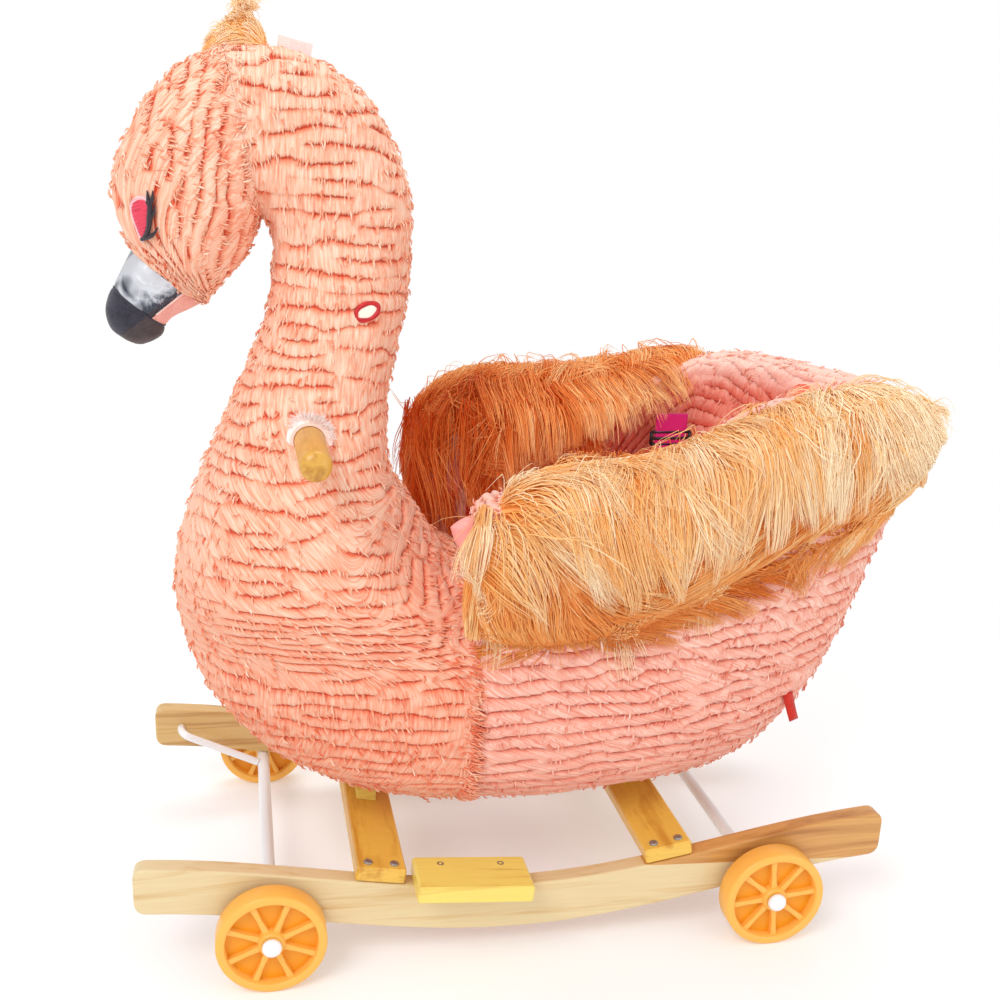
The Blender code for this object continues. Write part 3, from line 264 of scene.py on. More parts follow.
def stuffed_rows(stations, spacing, columns, power=2.2):
    """Dense rings through the stations, and the distance of each ring along the shape."""
    table = smooth_path(stations, 24)
    front = np.linalg.norm(np.diff(table[:, 0:2], axis=0), axis=1)
    back = np.linalg.norm(np.diff(table[:, 2:4], axis=0), axis=1)
    side = np.abs(np.diff(table[:, 4]))
    widest = np.concatenate([[0], np.cumsum(np.maximum(np.maximum(front, back), side))])
    mean = np.concatenate([[0], np.cumsum(np.maximum((front + back) / 2, side))])
    at = np.linspace(0, widest[-1], max(int(widest[-1] / spacing), 4))
    table = resample(np.column_stack([table, mean]), widest, at)
    rows = []
    for fx, fz, bx, bz, half, _ in table:
        front = np.array((fx, 0.0, fz))
        back = np.array((bx, 0.0, bz))
        rows.append(oval_ring((front + back) / 2, (front - back) / 2, np.array((0.0, half, 0.0)),
                              power, columns))
    return np.array(rows), table[:, 5]


def grid_normals(rows):
    """Outward normals of a grid of rings that close on themselves."""
    along = np.gradient(rows, axis=0)
    around = np.roll(rows, -1, axis=1) - np.roll(rows, 1, axis=1)
    normals = np.cross(around, along)
    normals /= np.maximum(np.linalg.norm(normals, axis=2, keepdims=True), 1e-12)
    outward = rows - rows.mean(axis=1, keepdims=True)
    if (normals * outward).sum() < 0:
        normals = -normals
    return normals


def around_distance(rows):
    """Distance of each point round its own ring."""
    step = np.linalg.norm(np.roll(rows, -1, axis=1) - rows, axis=2)
    return np.cumsum(step, axis=1) - step


# Meshes

def show(name, mesh, *materials):
    piece = bpy.data.objects.new(name, mesh)
    bpy.context.scene.collection.objects.link(piece)
    for finish in materials:
        mesh.materials.append(finish)
    return piece


def belongs(piece, slot, *solids, body="body", fill=None):
    """Puts a piece on the body that carries it and hides the solids that it stands for. Its slot and how full
    it is are not used.
    """
    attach(piece, body)
    if solids:
        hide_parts(*solids)


def set_values(mesh, **values):
    """Stores one number for each vertex under each name."""
    for name, numbers in values.items():
        layer = mesh.attributes.new(name, "FLOAT", "POINT")
        layer.data.foreach_set("value", np.asarray(numbers, np.float32).ravel())


def grid_mesh(name, rows, along=None, caps=True, across=None, wrap=1.0, **values):
    """Closed skin from rings of points, with a map in metres for its fibres."""
    count, columns, _ = rows.shape
    points = rows.reshape(-1, 3)
    i, j = np.meshgrid(np.arange(count - 1), np.arange(columns), indexing="ij")
    k = (j + 1) % columns
    quads = np.stack([i * columns + j, i * columns + k, (i + 1) * columns + k, (i + 1) * columns + j], -1)
    quads = quads.reshape(-1, 4)
    corners = points[quads]
    centre = points.mean(axis=0)
    normal = np.cross(corners[:, 2] - corners[:, 0], corners[:, 3] - corners[:, 1])
    turned = (normal * (corners.mean(axis=1) - centre)).sum() < 0
    if turned:
        quads = quads[:, ::-1]
    faces = quads.tolist()
    if caps:
        ends = np.array([rows[0].mean(axis=0), rows[-1].mean(axis=0)])
        first = len(points)
        points = np.vstack([points, ends])
        for end, start, flip in ((0, 0, not turned), (1, (count - 1) * columns, turned)):
            for c in range(columns):
                one, two = start + c, start + (c + 1) % columns
                faces.append((one, first + end, two) if flip else (two, first + end, one))
    mesh = bpy.data.meshes.new(name)
    mesh.from_pydata(points.tolist(), [], faces)
    mesh.shade_smooth()
    if along is not None:
        distance = around_distance(rows)
        girth = distance[:, -1] + np.linalg.norm(rows[:, 0] - rows[:, -1], axis=1)
        across = distance if across is None else across
        u = np.stack([across, np.roll(across, -1, axis=1)], -1)
        u[:, -1, 1] += girth * wrap
        lift = along if np.ndim(along) == 2 else np.repeat(np.asarray(along)[:, None], columns, 1)
        ahead = np.roll(lift, -1, axis=1)
        uv = np.zeros((count - 1, columns, 4, 2))
        uv[:, :, 0, 0] = u[:-1, :, 0]
        uv[:, :, 1, 0] = u[:-1, :, 1]
        uv[:, :, 2, 0] = u[1:, :, 1]
        uv[:, :, 3, 0] = u[1:, :, 0]
        uv[:, :, 0, 1] = lift[:-1]
        uv[:, :, 1, 1] = ahead[:-1]
        uv[:, :, 2, 1] = ahead[1:]
        uv[:, :, 3, 1] = lift[1:]
        uv = uv.reshape(-1, 4, 2)
        if turned:
            uv = uv[:, ::-1]
        flat = np.zeros((len(mesh.loops), 2))
        flat[:uv.shape[0] * 4] = uv.reshape(-1, 2)
        mesh.uv_layers.new(name="Fibres").data.foreach_set("uv", flat.ravel().astype(np.float32))
    for key, numbers in values.items():
        numbers = np.asarray(numbers, float).ravel()
        if caps:
            numbers = np.append(numbers, [numbers[:columns].mean(), numbers[-columns:].mean()])
        set_values(mesh, **{key: numbers})
    return mesh


def finish_bmesh(name, bm, smooth_angle=40.0):
    bmesh.ops.remove_doubles(bm, verts=bm.verts, dist=1e-6)
    bmesh.ops.recalc_face_normals(bm, faces=bm.faces)
    mesh = bpy.data.meshes.new(name)
    bm.to_mesh(mesh)
    bm.free()
    mesh.shade_smooth()
    mesh.set_sharp_from_angle(angle=math.radians(smooth_angle))
    return mesh


def turned_mesh(name, profile, segments, centre, smooth_angle=40.0):
    """Solid of revolution about Y; the profile is (radius, y) pairs from axis to axis or a closed loop."""
    bm = bmesh.new()
    rows = []
    for radius, y in profile:
        if radius == 0.0:
            rows.append([bm.verts.new(centre + Vector((0.0, y, 0.0)))])
            continue
        rows.append([bm.verts.new(centre + Vector((radius * math.cos(TAU * i / segments), y,
                                                   radius * math.sin(TAU * i / segments))))
                     for i in range(segments)])
    pairs = list(zip(rows, rows[1:]))
    if profile[0][0] > 0.0:
        pairs.append((rows[-1], rows[0]))
    for one, two in pairs:
        for i in range(segments):
            j = (i + 1) % segments
            corners = [one[i % len(one)], one[j % len(one)], two[j % len(two)], two[i % len(two)]]
            bm.faces.new(list(dict.fromkeys(corners)))
    return finish_bmesh(name, bm, smooth_angle)


def tube_rows(points, radii, segments):
    """Rings round a path, for one closed rod."""
    points = np.asarray(points, float)
    way = np.gradient(points, axis=0)
    way /= np.linalg.norm(way, axis=1, keepdims=True)
    side = np.cross(way[0], (0.31, 0.52, 0.79))
    rows = []
    turn = np.arange(segments) / segments * TAU
    for point, direction, radius in zip(points, way, np.broadcast_to(radii, len(points))):
        side = side - direction * np.dot(side, direction)
        side /= np.linalg.norm(side)
        up = np.cross(direction, side)
        rows.append(point + radius * (np.outer(np.cos(turn), side) + np.outer(np.sin(turn), up)))
    return np.array(rows)


def join_meshes(name, meshes):
    bm = bmesh.new()
    for mesh in meshes:
        bm.from_mesh(mesh)
    made = bpy.data.meshes.new(name)
    bm.to_mesh(made)
    bm.free()
    made.shade_smooth()
    return made


# Materials

class Finish:
    """A material being put together."""

    def __init__(self, name):
        self.made = bpy.data.materials.new(name)
        self.made.use_nodes = True
        self.tree = self.made.node_tree
        self.shader = self.tree.nodes["Principled BSDF"]

    def feed(self, socket, value):
        if isinstance(value, bpy.types.NodeSocket):
            self.tree.links.new(value, socket)
        elif isinstance(value, tuple) and len(value) == 3 and socket.type == "RGBA":
            socket.default_value = (*value, 1.0)
        else:
            socket.default_value = value

    def node(self, kind, settings=None, **sockets):
        made = self.tree.nodes.new(kind)
        for key, value in (settings or {}).items():
            setattr(made, key, value)
        for key, value in sockets.items():
            self.feed(made.inputs[key.replace("_", " ")], value)
        return made

    def surface(self, **sockets):
        for key, value in sockets.items():
            self.feed(self.shader.inputs[key.replace("_", " ")], value)
        return self.made

    def value(self, name):
        return self.node("ShaderNodeAttribute", {"attribute_name": name}).outputs["Fac"]

    def place(self):
        return self.node("ShaderNodeTexCoord").outputs["Object"]

    def fibres(self):
        return self.node("ShaderNodeUVMap", {"uv_map": "Fibres"}).outputs["UV"]

    def stretch(self, vector, scale, turn=(0.0, 0.0, 0.0)):
        made = self.node("ShaderNodeMapping", Vector=vector)
        made.inputs["Scale"].default_value = scale
        made.inputs["Rotation"].default_value = turn
        return made.outputs["Vector"]

    def noise(self, vector, scale=1.0, detail=2.0, roughness=0.5, distortion=0.0):
        made = self.node("ShaderNodeTexNoise", Vector=vector, Scale=scale, Detail=detail,
                         Roughness=roughness, Distortion=distortion)
        return made.outputs[0]

    def math(self, kind, *values):
        made = self.node("ShaderNodeMath", {"operation": kind})
        for socket, value in zip(made.inputs, values):
            self.feed(socket, value)
        return made.outputs[0]

    def ramp(self, value, *stops):
        made = self.node("ShaderNodeValToRGB", Fac=value)
        elements = made.color_ramp.elements
        while len(elements) < len(stops):
            elements.new(0.5)
        for element, (at, colour) in zip(elements, stops):
            element.position = at
            element.color = (*colour, 1.0) if isinstance(colour, tuple) else (colour, colour, colour, 1.0)
        return made.outputs["Color"]

    def mix(self, share, one, two, kind="MIX"):
        made = self.node("ShaderNodeMix", {"data_type": "RGBA", "blend_type": kind})
        self.feed(made.inputs[0], share)
        self.feed(made.inputs[6], one)
        self.feed(made.inputs[7], two)
        return made.outputs[2]

    def bump(self, height, strength, distance):
        made = self.node("ShaderNodeBump", Height=height, Strength=strength, Distance=distance)
        return made.outputs["Normal"]


def srgb(red, green, blue):
    """Linear colour from screen values up to 255."""
    return tuple((c / 255 / 12.92) if c < 10 else ((c / 255 + 0.055) / 1.055) ** 2.4
                 for c in (red, green, blue))


def plain(name, colour, roughness, metallic=0.0):
    return Finish(name).surface(Base_Color=colour, Roughness=roughness, Metallic=metallic)


def plush_finish(name, crevice, deep, middle, crest, pale, warm=(0.86, 0.52, 0.44)):
    """Short plush. The skin gives the wave of its bands, and the fringe of each band, its
    crevice and its fibres are drawn here at their own scale."""
    f = Finish(name)
    fibre = f.noise(f.stretch(f.fibres(), (520.0, 52.0, 1.0)), 1.0, 2.0, 0.6, 0.3)
    clump = f.noise(f.stretch(f.fibres(), (190.0, 40.0, 1.0)), 1.0, 2.0, 0.5, 0.5)
    fringe = f.math("MULTIPLY_ADD", fibre, 0.30, f.math("MULTIPLY_ADD", clump, 0.46, -0.38))
    turn = f.math("MULTIPLY", f.math("ARCTAN2", f.value("wave_b"), f.value("wave_a")), 1 / TAU)
    phase = f.math("FRACT", f.math("ADD", turn, fringe))
    shape = f.ramp(phase, (0.0, 0.0), (0.045, 0.70), (0.11, 1.0), (0.66, 0.94), (0.90, 0.62), (1.0, 0.12))
    groove = f.math("MULTIPLY", f.math("SUBTRACT", 1.0, shape), f.value("broken"))
    height = f.math("SUBTRACT", 1.0, groove)
    lit = f.math("MULTIPLY_ADD", fibre, 1.55, f.math("MULTIPLY_ADD", clump, 0.85, -1.22))
    lit = f.math("MULTIPLY_ADD", height, 0.72, lit)
    # colour darkens into each crevice, painted shade, and pales on the crests, painted highlight; the fibres
    # and clumps vary it too
    colour = f.ramp(lit, (0.02, crevice), (0.24, deep), (0.56, middle), (0.95, crest))
    colour = f.mix(f.math("MULTIPLY", f.value("pale"), 0.75), colour, pale)
    # painted shade: darker and redder low on the body and inside the seat
    colour = f.mix(f.math("MULTIPLY", f.value("warm"), 0.55), colour, warm, "MULTIPLY")
    relief = f.math("MULTIPLY_ADD", fibre, 0.55, f.math("MULTIPLY_ADD", clump, 0.5, height))
    # painted glow in the crevice colour lifts the shade in the crevices
    painted_crevice_glow = f.math("MULTIPLY_ADD", groove, 0.16, 0.01)
    return f.surface(Base_Color=colour, Roughness=0.92, Specular_IOR_Level=0.15, Sheen_Weight=0.25,
                     Sheen_Roughness=0.5, Sheen_Tint=crest, Emission_Color=crevice, Emission_Strength=painted_crevice_glow,
                     Normal=f.bump(relief, 0.8, 0.0015))


def fur_finish(name, root, low, middle, tip, roughness=0.48):
    """Pile made of strands: each one carries its own tone from root to tip."""
    f = Finish(name)
    tone = f.value("tone")
    colour = f.ramp(tone, (0.02, root), (0.30, low), (0.60, middle), (0.95, tip))
    # painted glow in the colour of the roots, so the shadows in the pile keep that colour
    return f.surface(Base_Color=colour, Roughness=roughness, Specular_IOR_Level=0.15, Emission_Color=root,
                     Emission_Strength=0.085)


def wood_finish(name, pale, dark, streak, along=(3.0, 60.0, 90.0), glue_line=False):
    """Varnished wood with grain along its length."""
    f = Finish(name)
    place = f.place()
    bend = f.noise(f.stretch(place, (4.0, 14.0, 14.0)), 1.0, 2.0)
    shift = f.node("ShaderNodeVectorMath", {"operation": "ADD"})
    f.feed(shift.inputs[0], place)
    f.feed(shift.inputs[1], f.node("ShaderNodeCombineXYZ", X=0.0, Y=0.0,
                                   Z=f.math("MULTIPLY", bend, 0.02)).outputs[0])
    grain = f.noise(f.stretch(shift.outputs[0], along), 1.0, 5.0, 0.62)
    fine = f.noise(f.stretch(place, (18.0, 420.0, 420.0)), 1.0, 3.0, 0.6)
    colour = f.ramp(grain, (0.36, dark), (0.50, pale), (0.66, pale), (0.80, streak))
    colour = f.mix(f.math("MULTIPLY", fine, 0.22), colour, streak, "MULTIPLY")
    if glue_line:
        parts = f.node("ShaderNodeSeparateXYZ", Vector=place).outputs
        # the rear end of a runner is a wedge of darker wood, above a slanting joint
        joint = f.math("MULTIPLY_ADD", f.math("SUBTRACT", parts["X"], 0.075), -0.045, 0.0735)
        above = f.math("GREATER_THAN", parts["Z"], joint)
        edge = f.math("GREATER_THAN", parts["X"], 0.050)
        warm = f.ramp(grain, (0.34, srgb(178, 118, 56)), (0.55, srgb(214, 158, 88)),
                      (0.75, srgb(196, 138, 70)))
        colour = f.mix(f.math("MULTIPLY", above, edge), colour, warm)
    return f.surface(Base_Color=colour, Roughness=f.math("MULTIPLY_ADD", fine, 0.15, 0.30),
                     Normal=f.bump(grain, 0.12, 0.0006), Coat_Weight=0.25, Coat_Roughness=0.2)


coral_plush = plush_finish("coral plush", srgb(206, 62, 36), srgb(232, 118, 86), srgb(243, 173, 141),
                           srgb(248, 216, 192), srgb(247, 205, 184))
pink_plush = plush_finish("pink plush", srgb(186, 66, 52), srgb(220, 122, 102), srgb(238, 170, 148),
                          srgb(249, 214, 198), srgb(248, 204, 190), warm=(0.97, 0.66, 0.62))
# deeper and redder than the tub's plush, partly as painted shade inside the seat
rose_plush = plush_finish("rose plush", srgb(204, 34, 20), srgb(232, 70, 48), srgb(242, 104, 80),
                          srgb(252, 150, 124), srgb(248, 140, 118))
coral_pile = fur_finish("coral pile", srgb(230, 116, 82), srgb(241, 158, 124), srgb(247, 190, 160),
                        srgb(250, 224, 202), 0.9)
pink_pile = fur_finish("pink pile", srgb(214, 112, 92), srgb(234, 154, 132), srgb(246, 188, 168),
                       srgb(252, 222, 208), 0.9)
blond_fur = fur_finish("blond fur", srgb(236, 140, 56), srgb(242, 172, 96), srgb(248, 202, 138),
                       srgb(255, 238, 204))
golden_fur = fur_finish("golden fur", srgb(222, 122, 46), srgb(236, 154, 82), srgb(246, 184, 114),
                        srgb(254, 224, 168))
# copy of the blond fur, darker and redder: painted shade for the far wing and the inner pile
painted_shade_fur = fur_finish("amber fur", srgb(206, 76, 18), srgb(232, 128, 56), srgb(248, 172, 100),
                     srgb(255, 216, 158))
crest_fur = fur_finish("crest fur", srgb(246, 156, 80), srgb(252, 188, 114), srgb(255, 212, 152),
                       srgb(255, 244, 222))
fur_backing = plain("fur backing", srgb(248, 170, 98), 0.95)
# copy of the backing, darker: painted shade under the far wing's pile
painted_shade_backing = plain("amber backing", srgb(234, 118, 50), 0.95)
lining_fur = fur_finish("lining pile", srgb(236, 170, 160), srgb(252, 222, 214), srgb(255, 240, 236),
                        srgb(255, 252, 250), 0.8)
roll_satin = plain("roll satin", srgb(250, 168, 160), 0.42)
pale_wood = wood_finish("pale wood", srgb(230, 210, 164), srgb(216, 182, 124), srgb(198, 156, 98),
                        glue_line=True)
aged_wood = wood_finish("aged wood", srgb(220, 184, 120), srgb(190, 144, 82), srgb(168, 120, 62))
golden_wood = wood_finish("golden wood", srgb(244, 222, 112), srgb(230, 192, 86), srgb(206, 156, 66))
cross_wood = wood_finish("golden wood across", srgb(238, 194, 82), srgb(212, 154, 50), srgb(198, 136, 46),
                         along=(60.0, 3.0, 90.0))
handle_wood = wood_finish("handle wood", srgb(224, 170, 70), srgb(192, 134, 42), srgb(176, 120, 38),
                          along=(90.0, 4.0, 90.0))
inner_ply = wood_finish("inner ply", srgb(214, 180, 130), srgb(180, 140, 90), srgb(150, 110, 70))
white_paint = plain("white paint", srgb(236, 238, 240), 0.32)
white_cap = plain("white cap", srgb(242, 243, 246), 0.28)
dull_steel = plain("dull steel", srgb(160, 158, 152), 0.42, 0.85)
black_plastic = plain("black plastic", srgb(30, 30, 38), 0.38)
yellow_rim = plain("yellow rim", srgb(248, 184, 82), 0.36)
# the web is the same plastic as the rim, darker: painted shade in the recess
painted_shade_web = plain("amber web", srgb(240, 158, 22), 0.42)
cream_thread = plain("cream thread", srgb(255, 238, 222), 0.7)


def thread_finish(name, colour, shade):
    """Satin stitches: fine lines that follow the piece's own map."""
    f = Finish(name)
    line = f.noise(f.stretch(f.fibres(), (1500.0, 90.0, 1.0)), 1.0, 1.0)
    return f.surface(Base_Color=f.ramp(line, (0.3, shade), (0.6, colour)), Roughness=0.45,
                     Sheen_Weight=0.2, Normal=f.bump(line, 0.6, 0.0006))


red_thread = thread_finish("red thread", srgb(214, 18, 26), srgb(150, 6, 14))
eye_thread = thread_finish("eye thread", srgb(236, 62, 92), srgb(200, 30, 62))
edge_thread = thread_finish("eye edge thread", srgb(250, 206, 206), srgb(236, 150, 156))
dark_thread = thread_finish("dark thread", srgb(50, 36, 48), srgb(20, 14, 22))


def foil_finish():
    """Silver fabric: soft folds, and fine creases only low at the back."""
    f = Finish("silver foil")
    place = f.place()
    fold = f.noise(f.stretch(place, (26.0, 40.0, 38.0), (0.0, 0.9, 0.0)), 1.0, 2.0, 0.5, 0.8)
    crease = f.noise(f.stretch(place, (120.0, 70.0, 80.0), (0.0, 0.5, 0.0)), 1.0, 4.0, 0.7, 1.5)
    parts = f.node("ShaderNodeSeparateXYZ", Vector=place).outputs
    low = f.ramp(f.math("MULTIPLY_ADD", parts["Z"], -40.0, 22.4), (0.0, (0, 0, 0)), (1.0, (1, 1, 1)))
    back = f.ramp(f.math("MULTIPLY_ADD", parts["X"], 40.0, 13.3), (0.0, (0, 0, 0)), (1.0, (1, 1, 1)))
    share = f.math("MULTIPLY", low, back)
    height = f.math("MULTIPLY_ADD", f.math("MULTIPLY", crease, share), 0.9, fold)
    # the colour darkens and brightens with the folds, and with the creases low at the back: painted shade and
    # reflection
    shade = f.math("MULTIPLY_ADD", f.math("MULTIPLY", f.math("SUBTRACT", crease, 0.62), share), 1.2, fold)
    return f.surface(Base_Color=f.ramp(shade, (0.34, srgb(70, 74, 86)), (0.46, srgb(166, 169, 178)),
                                       (0.56, srgb(226, 228, 234))),
                     Metallic=0.75, Roughness=0.28, Normal=f.bump(height, 0.9, 0.0034))


def felt_finish(name, dark, light):
    f = Finish(name)
    nap = f.noise(f.place(), 1400.0, 2.0, 0.6)
    cloud = f.noise(f.place(), 90.0, 3.0, 0.6)
    shade = f.math("ADD", f.math("MULTIPLY", nap, 0.65), f.math("MULTIPLY", cloud, 0.35))
    return f.surface(Base_Color=f.ramp(shade, (0.32, dark), (0.68, light)), Roughness=0.95,
                     Specular_IOR_Level=0.1, Sheen_Weight=0.3, Sheen_Roughness=0.5,
                     Normal=f.bump(nap, 0.5, 0.0007))


def webbing_finish():
    """Ribbed webbing: rows of weave across the strap."""
    f = Finish("magenta webbing")
    parts = f.node("ShaderNodeSeparateXYZ", Vector=f.fibres()).outputs
    cross = f.math("SINE", f.math("MULTIPLY", parts["Y"], TAU / 0.0011))
    rib = f.math("SINE", f.math("MULTIPLY", parts["X"], TAU / 0.0016))
    height = f.math("MULTIPLY_ADD", f.math("MULTIPLY", cross, rib), 0.5, 0.5)
    return f.surface(Base_Color=f.ramp(height, (0.1, srgb(204, 0, 112)), (0.8, srgb(246, 12, 146))),
                     Roughness=0.55, Sheen_Weight=0.2, Normal=f.bump(height, 0.7, 0.0004))


silver_foil = foil_finish()
navy_felt = felt_finish("navy felt", srgb(30, 29, 38), srgb(74, 72, 86))
grey_felt = felt_finish("warm grey felt", srgb(46, 40, 44), srgb(96, 84, 86))
jaw_satin = felt_finish("jaw satin", srgb(224, 140, 126), srgb(248, 190, 178))
piping_cloth = felt_finish("pale piping", srgb(232, 176, 166), srgb(255, 222, 212))
label_cloth = felt_finish("label cloth", srgb(232, 208, 206), srgb(250, 236, 232))
red_tape = felt_finish("red tape", srgb(176, 30, 26), srgb(222, 66, 50))
magenta_webbing = webbing_finish()


# Plush skins

def band_field(points, along, pitch, seed, wander=0.17):
    """Sum of plane waves whose angle gives wandering bands that merge and break."""
    draw = np.random.default_rng(seed)
    rate = TAU / pitch
    field = np.zeros(along.shape, complex)
    for _ in range(14):
        stretch = 1 + draw.normal(0, 0.11)
        push = draw.normal(0, wander, 3) * rate
        field += np.exp(1j * (rate * stretch * along + points @ push + draw.uniform(0, TAU)))
    return field / math.sqrt(14)


def band_values(points, field, pitch):
    """The wave with its wander, where each point lies in its band, how deep the crevice there
    is, and the height from 0 in a crevice to 1 on a crest."""
    angle = np.angle(field) + 0.75 * noise(points, 0.021, 5) + 0.45 * noise(points, 0.0085, 6)
    phase = (angle / TAU) % 1.0
    broken = smooth_step(np.abs(field) + 0.50 * noise(points, 0.017, 8), 0.10, 0.85)
    up = (1 - np.exp(-phase * pitch / 0.0011)) * (1 - np.exp(-(1 - phase) * pitch / 0.0024))
    height = 1 - (1 - np.clip(up / 0.88, 0, 1)) * (0.15 + 0.85 * broken)
    return np.exp(1j * angle), phase, broken, height


class Plush:
    """Grid of rings with bands raised on it, and the values that its finish reads."""

    def __init__(self, rows, along, pitch, seed, field=None, smooth=None, depth=0.0034, lift=0.0010):
        if along.ndim == 1:
            along = np.repeat(along[:, None], rows.shape[1], 1)
        if field is None:
            field = band_field(rows, along, pitch, seed)
        self.normals = grid_normals(rows)
        wave, self.phase, broken, height = band_values(rows, field, pitch)
        self.smooth = np.zeros(along.shape) if smooth is None else smooth
        height = height + (0.85 - height) * self.smooth
        self.broken = broken * (1 - self.smooth)
        lumps = (noise(rows, 0.060, 31) * 0.0014 + noise(rows, 0.024, 32) * 0.0006
                 + noise(rows, 0.009, 34) * 0.0005)
        # painted shade: the plush gets darker and redder towards the bottom
        self.warm = smooth_step(0.40 - rows[..., 2], 0.0, 0.22)
        offset = lift - depth * (1 - height) + lumps
        # paler on the crests, painted highlight, and paler where the plush is smooth
        self.pale = np.clip(smooth_step(height, 0.5, 1.0) * (0.5 + 0.5 * noise(rows, 0.05, 33)) * 0.35
                            + self.smooth * 0.5, 0, 1)
        self.wave = wave
        self.down = self.pile_way(rows, along, wave)
        self.rows = rows + self.normals * offset[..., None]
        self.along = along

    @staticmethod
    def pile_way(rows, along, wave):
        """Way in which the pile lies: across the bands, towards their lower edge."""
        one = np.gradient(rows, axis=0)
        two = (np.roll(rows, -1, axis=1) - np.roll(rows, 1, axis=1)) / 2
        size_one = np.maximum(np.linalg.norm(one, axis=2), 1e-9)
        size_two = np.maximum(np.linalg.norm(two, axis=2), 1e-9)
        climb = np.gradient(along, axis=0) / size_one
        aside = (np.roll(along, -1, axis=1) - np.roll(along, 1, axis=1)) / 2 / size_two
        aside = np.clip(aside, -1, 1)
        step_one = np.zeros(along.shape)
        step_one[:-1] = np.angle(wave[1:] * np.conj(wave[:-1]))
        step_two = np.angle(np.roll(wave, -1, axis=1) * np.conj(wave))
        rate = np.sqrt((step_one / size_one) ** 2 + (step_two / size_two) ** 2) + 1e-6
        up = (one / size_one[..., None]) * (climb + step_one / size_one / rate)[..., None]
        up = up + (two / size_two[..., None]) * (aside + step_two / size_two / rate)[..., None]
        return -up / np.maximum(np.linalg.norm(up, axis=2, keepdims=True), 1e-9)

    def mesh(self, name, **options):
        return grid_mesh(name, self.rows, self.along, wave_a=self.wave.real, wave_b=self.wave.imag,
                         broken=self.broken, pale=self.pale, warm=self.warm, **options)


def plush_tufts(name, plush, count, seed, finish, allowed=None, size=1.0, astray=None, way=None):
    """Short clumps of pile, most of them over the lower edge of a band."""
    draw = np.random.default_rng(seed)
    rows = plush.rows
    area = (np.linalg.norm(np.gradient(rows, axis=0), axis=2)
            * np.linalg.norm(np.roll(rows, -1, axis=1) - rows, axis=2))
    edge = (plush.phase > 0.03) & (plush.phase < 0.36)
    weight = area * (0.40 + 0.60 * edge * plush.broken) * (1 - 0.55 * plush.smooth)
    if allowed is not None:
        weight = weight * allowed
    if astray is not None:
        weight = weight * (1 + 7 * astray)
    picks = draw.choice(weight.size, count, replace=False, p=(weight / weight.sum()).ravel())
    normals = plush.normals.reshape(-1, 3)[picks]
    stray = 0.20 + (0.75 * astray.reshape(-1)[picks] if astray is not None else np.zeros(count))
    down = plush.down.reshape(-1, 3)[picks] if way is None else np.array(way)
    down = down + draw.normal(0, 1, (count, 3)) * stray[:, None]
    down -= normals * (down * normals).sum(axis=1, keepdims=True)
    down /= np.maximum(np.linalg.norm(down, axis=1, keepdims=True), 1e-9)
    roots = rows.reshape(-1, 3)[picks] + draw.normal(0, 0.0008, (count, 3))
    length = draw.uniform(0.0048, 0.0088, count)[:, None] * size
    paths = np.stack([roots - normals * 0.0006, roots + down * length * 0.5 + normals * 0.0012 * size,
                      roots + down * length + normals * draw.uniform(0.0002, 0.0016, (count, 1)) * size], 1)
    thick = np.array((1.0, 1.1, 0.30))[None] * draw.uniform(0.7, 1.4, count)[:, None]
    # tufts are darker where their skin has painted shade
    warm = plush.warm.reshape(-1)[picks] * 0.22
    shade = draw.normal(0, 0.17, count) + 0.12 * noise(roots, 0.03, 35) - warm
    tone = np.array((0.36, 0.60, 0.74))[None] + shade[:, None]
    piece = sweep_strands(name, paths, thick, np.clip(tone, 0, 1), TUFT_STRAND, finish)
    belongs(piece, "coral_plush")


def near(points, centre, reach):
    """1 at the centre and falling smoothly to 0 at the reach."""
    return 1 - smooth_step(np.linalg.norm(points - np.array(centre), axis=-1), 0.0, reach)


def flat_gap(rows, x, z):
    """Distance of each point from (x, z), seen from the side."""
    return np.hypot(rows[..., 0] - x, rows[..., 2] - z)


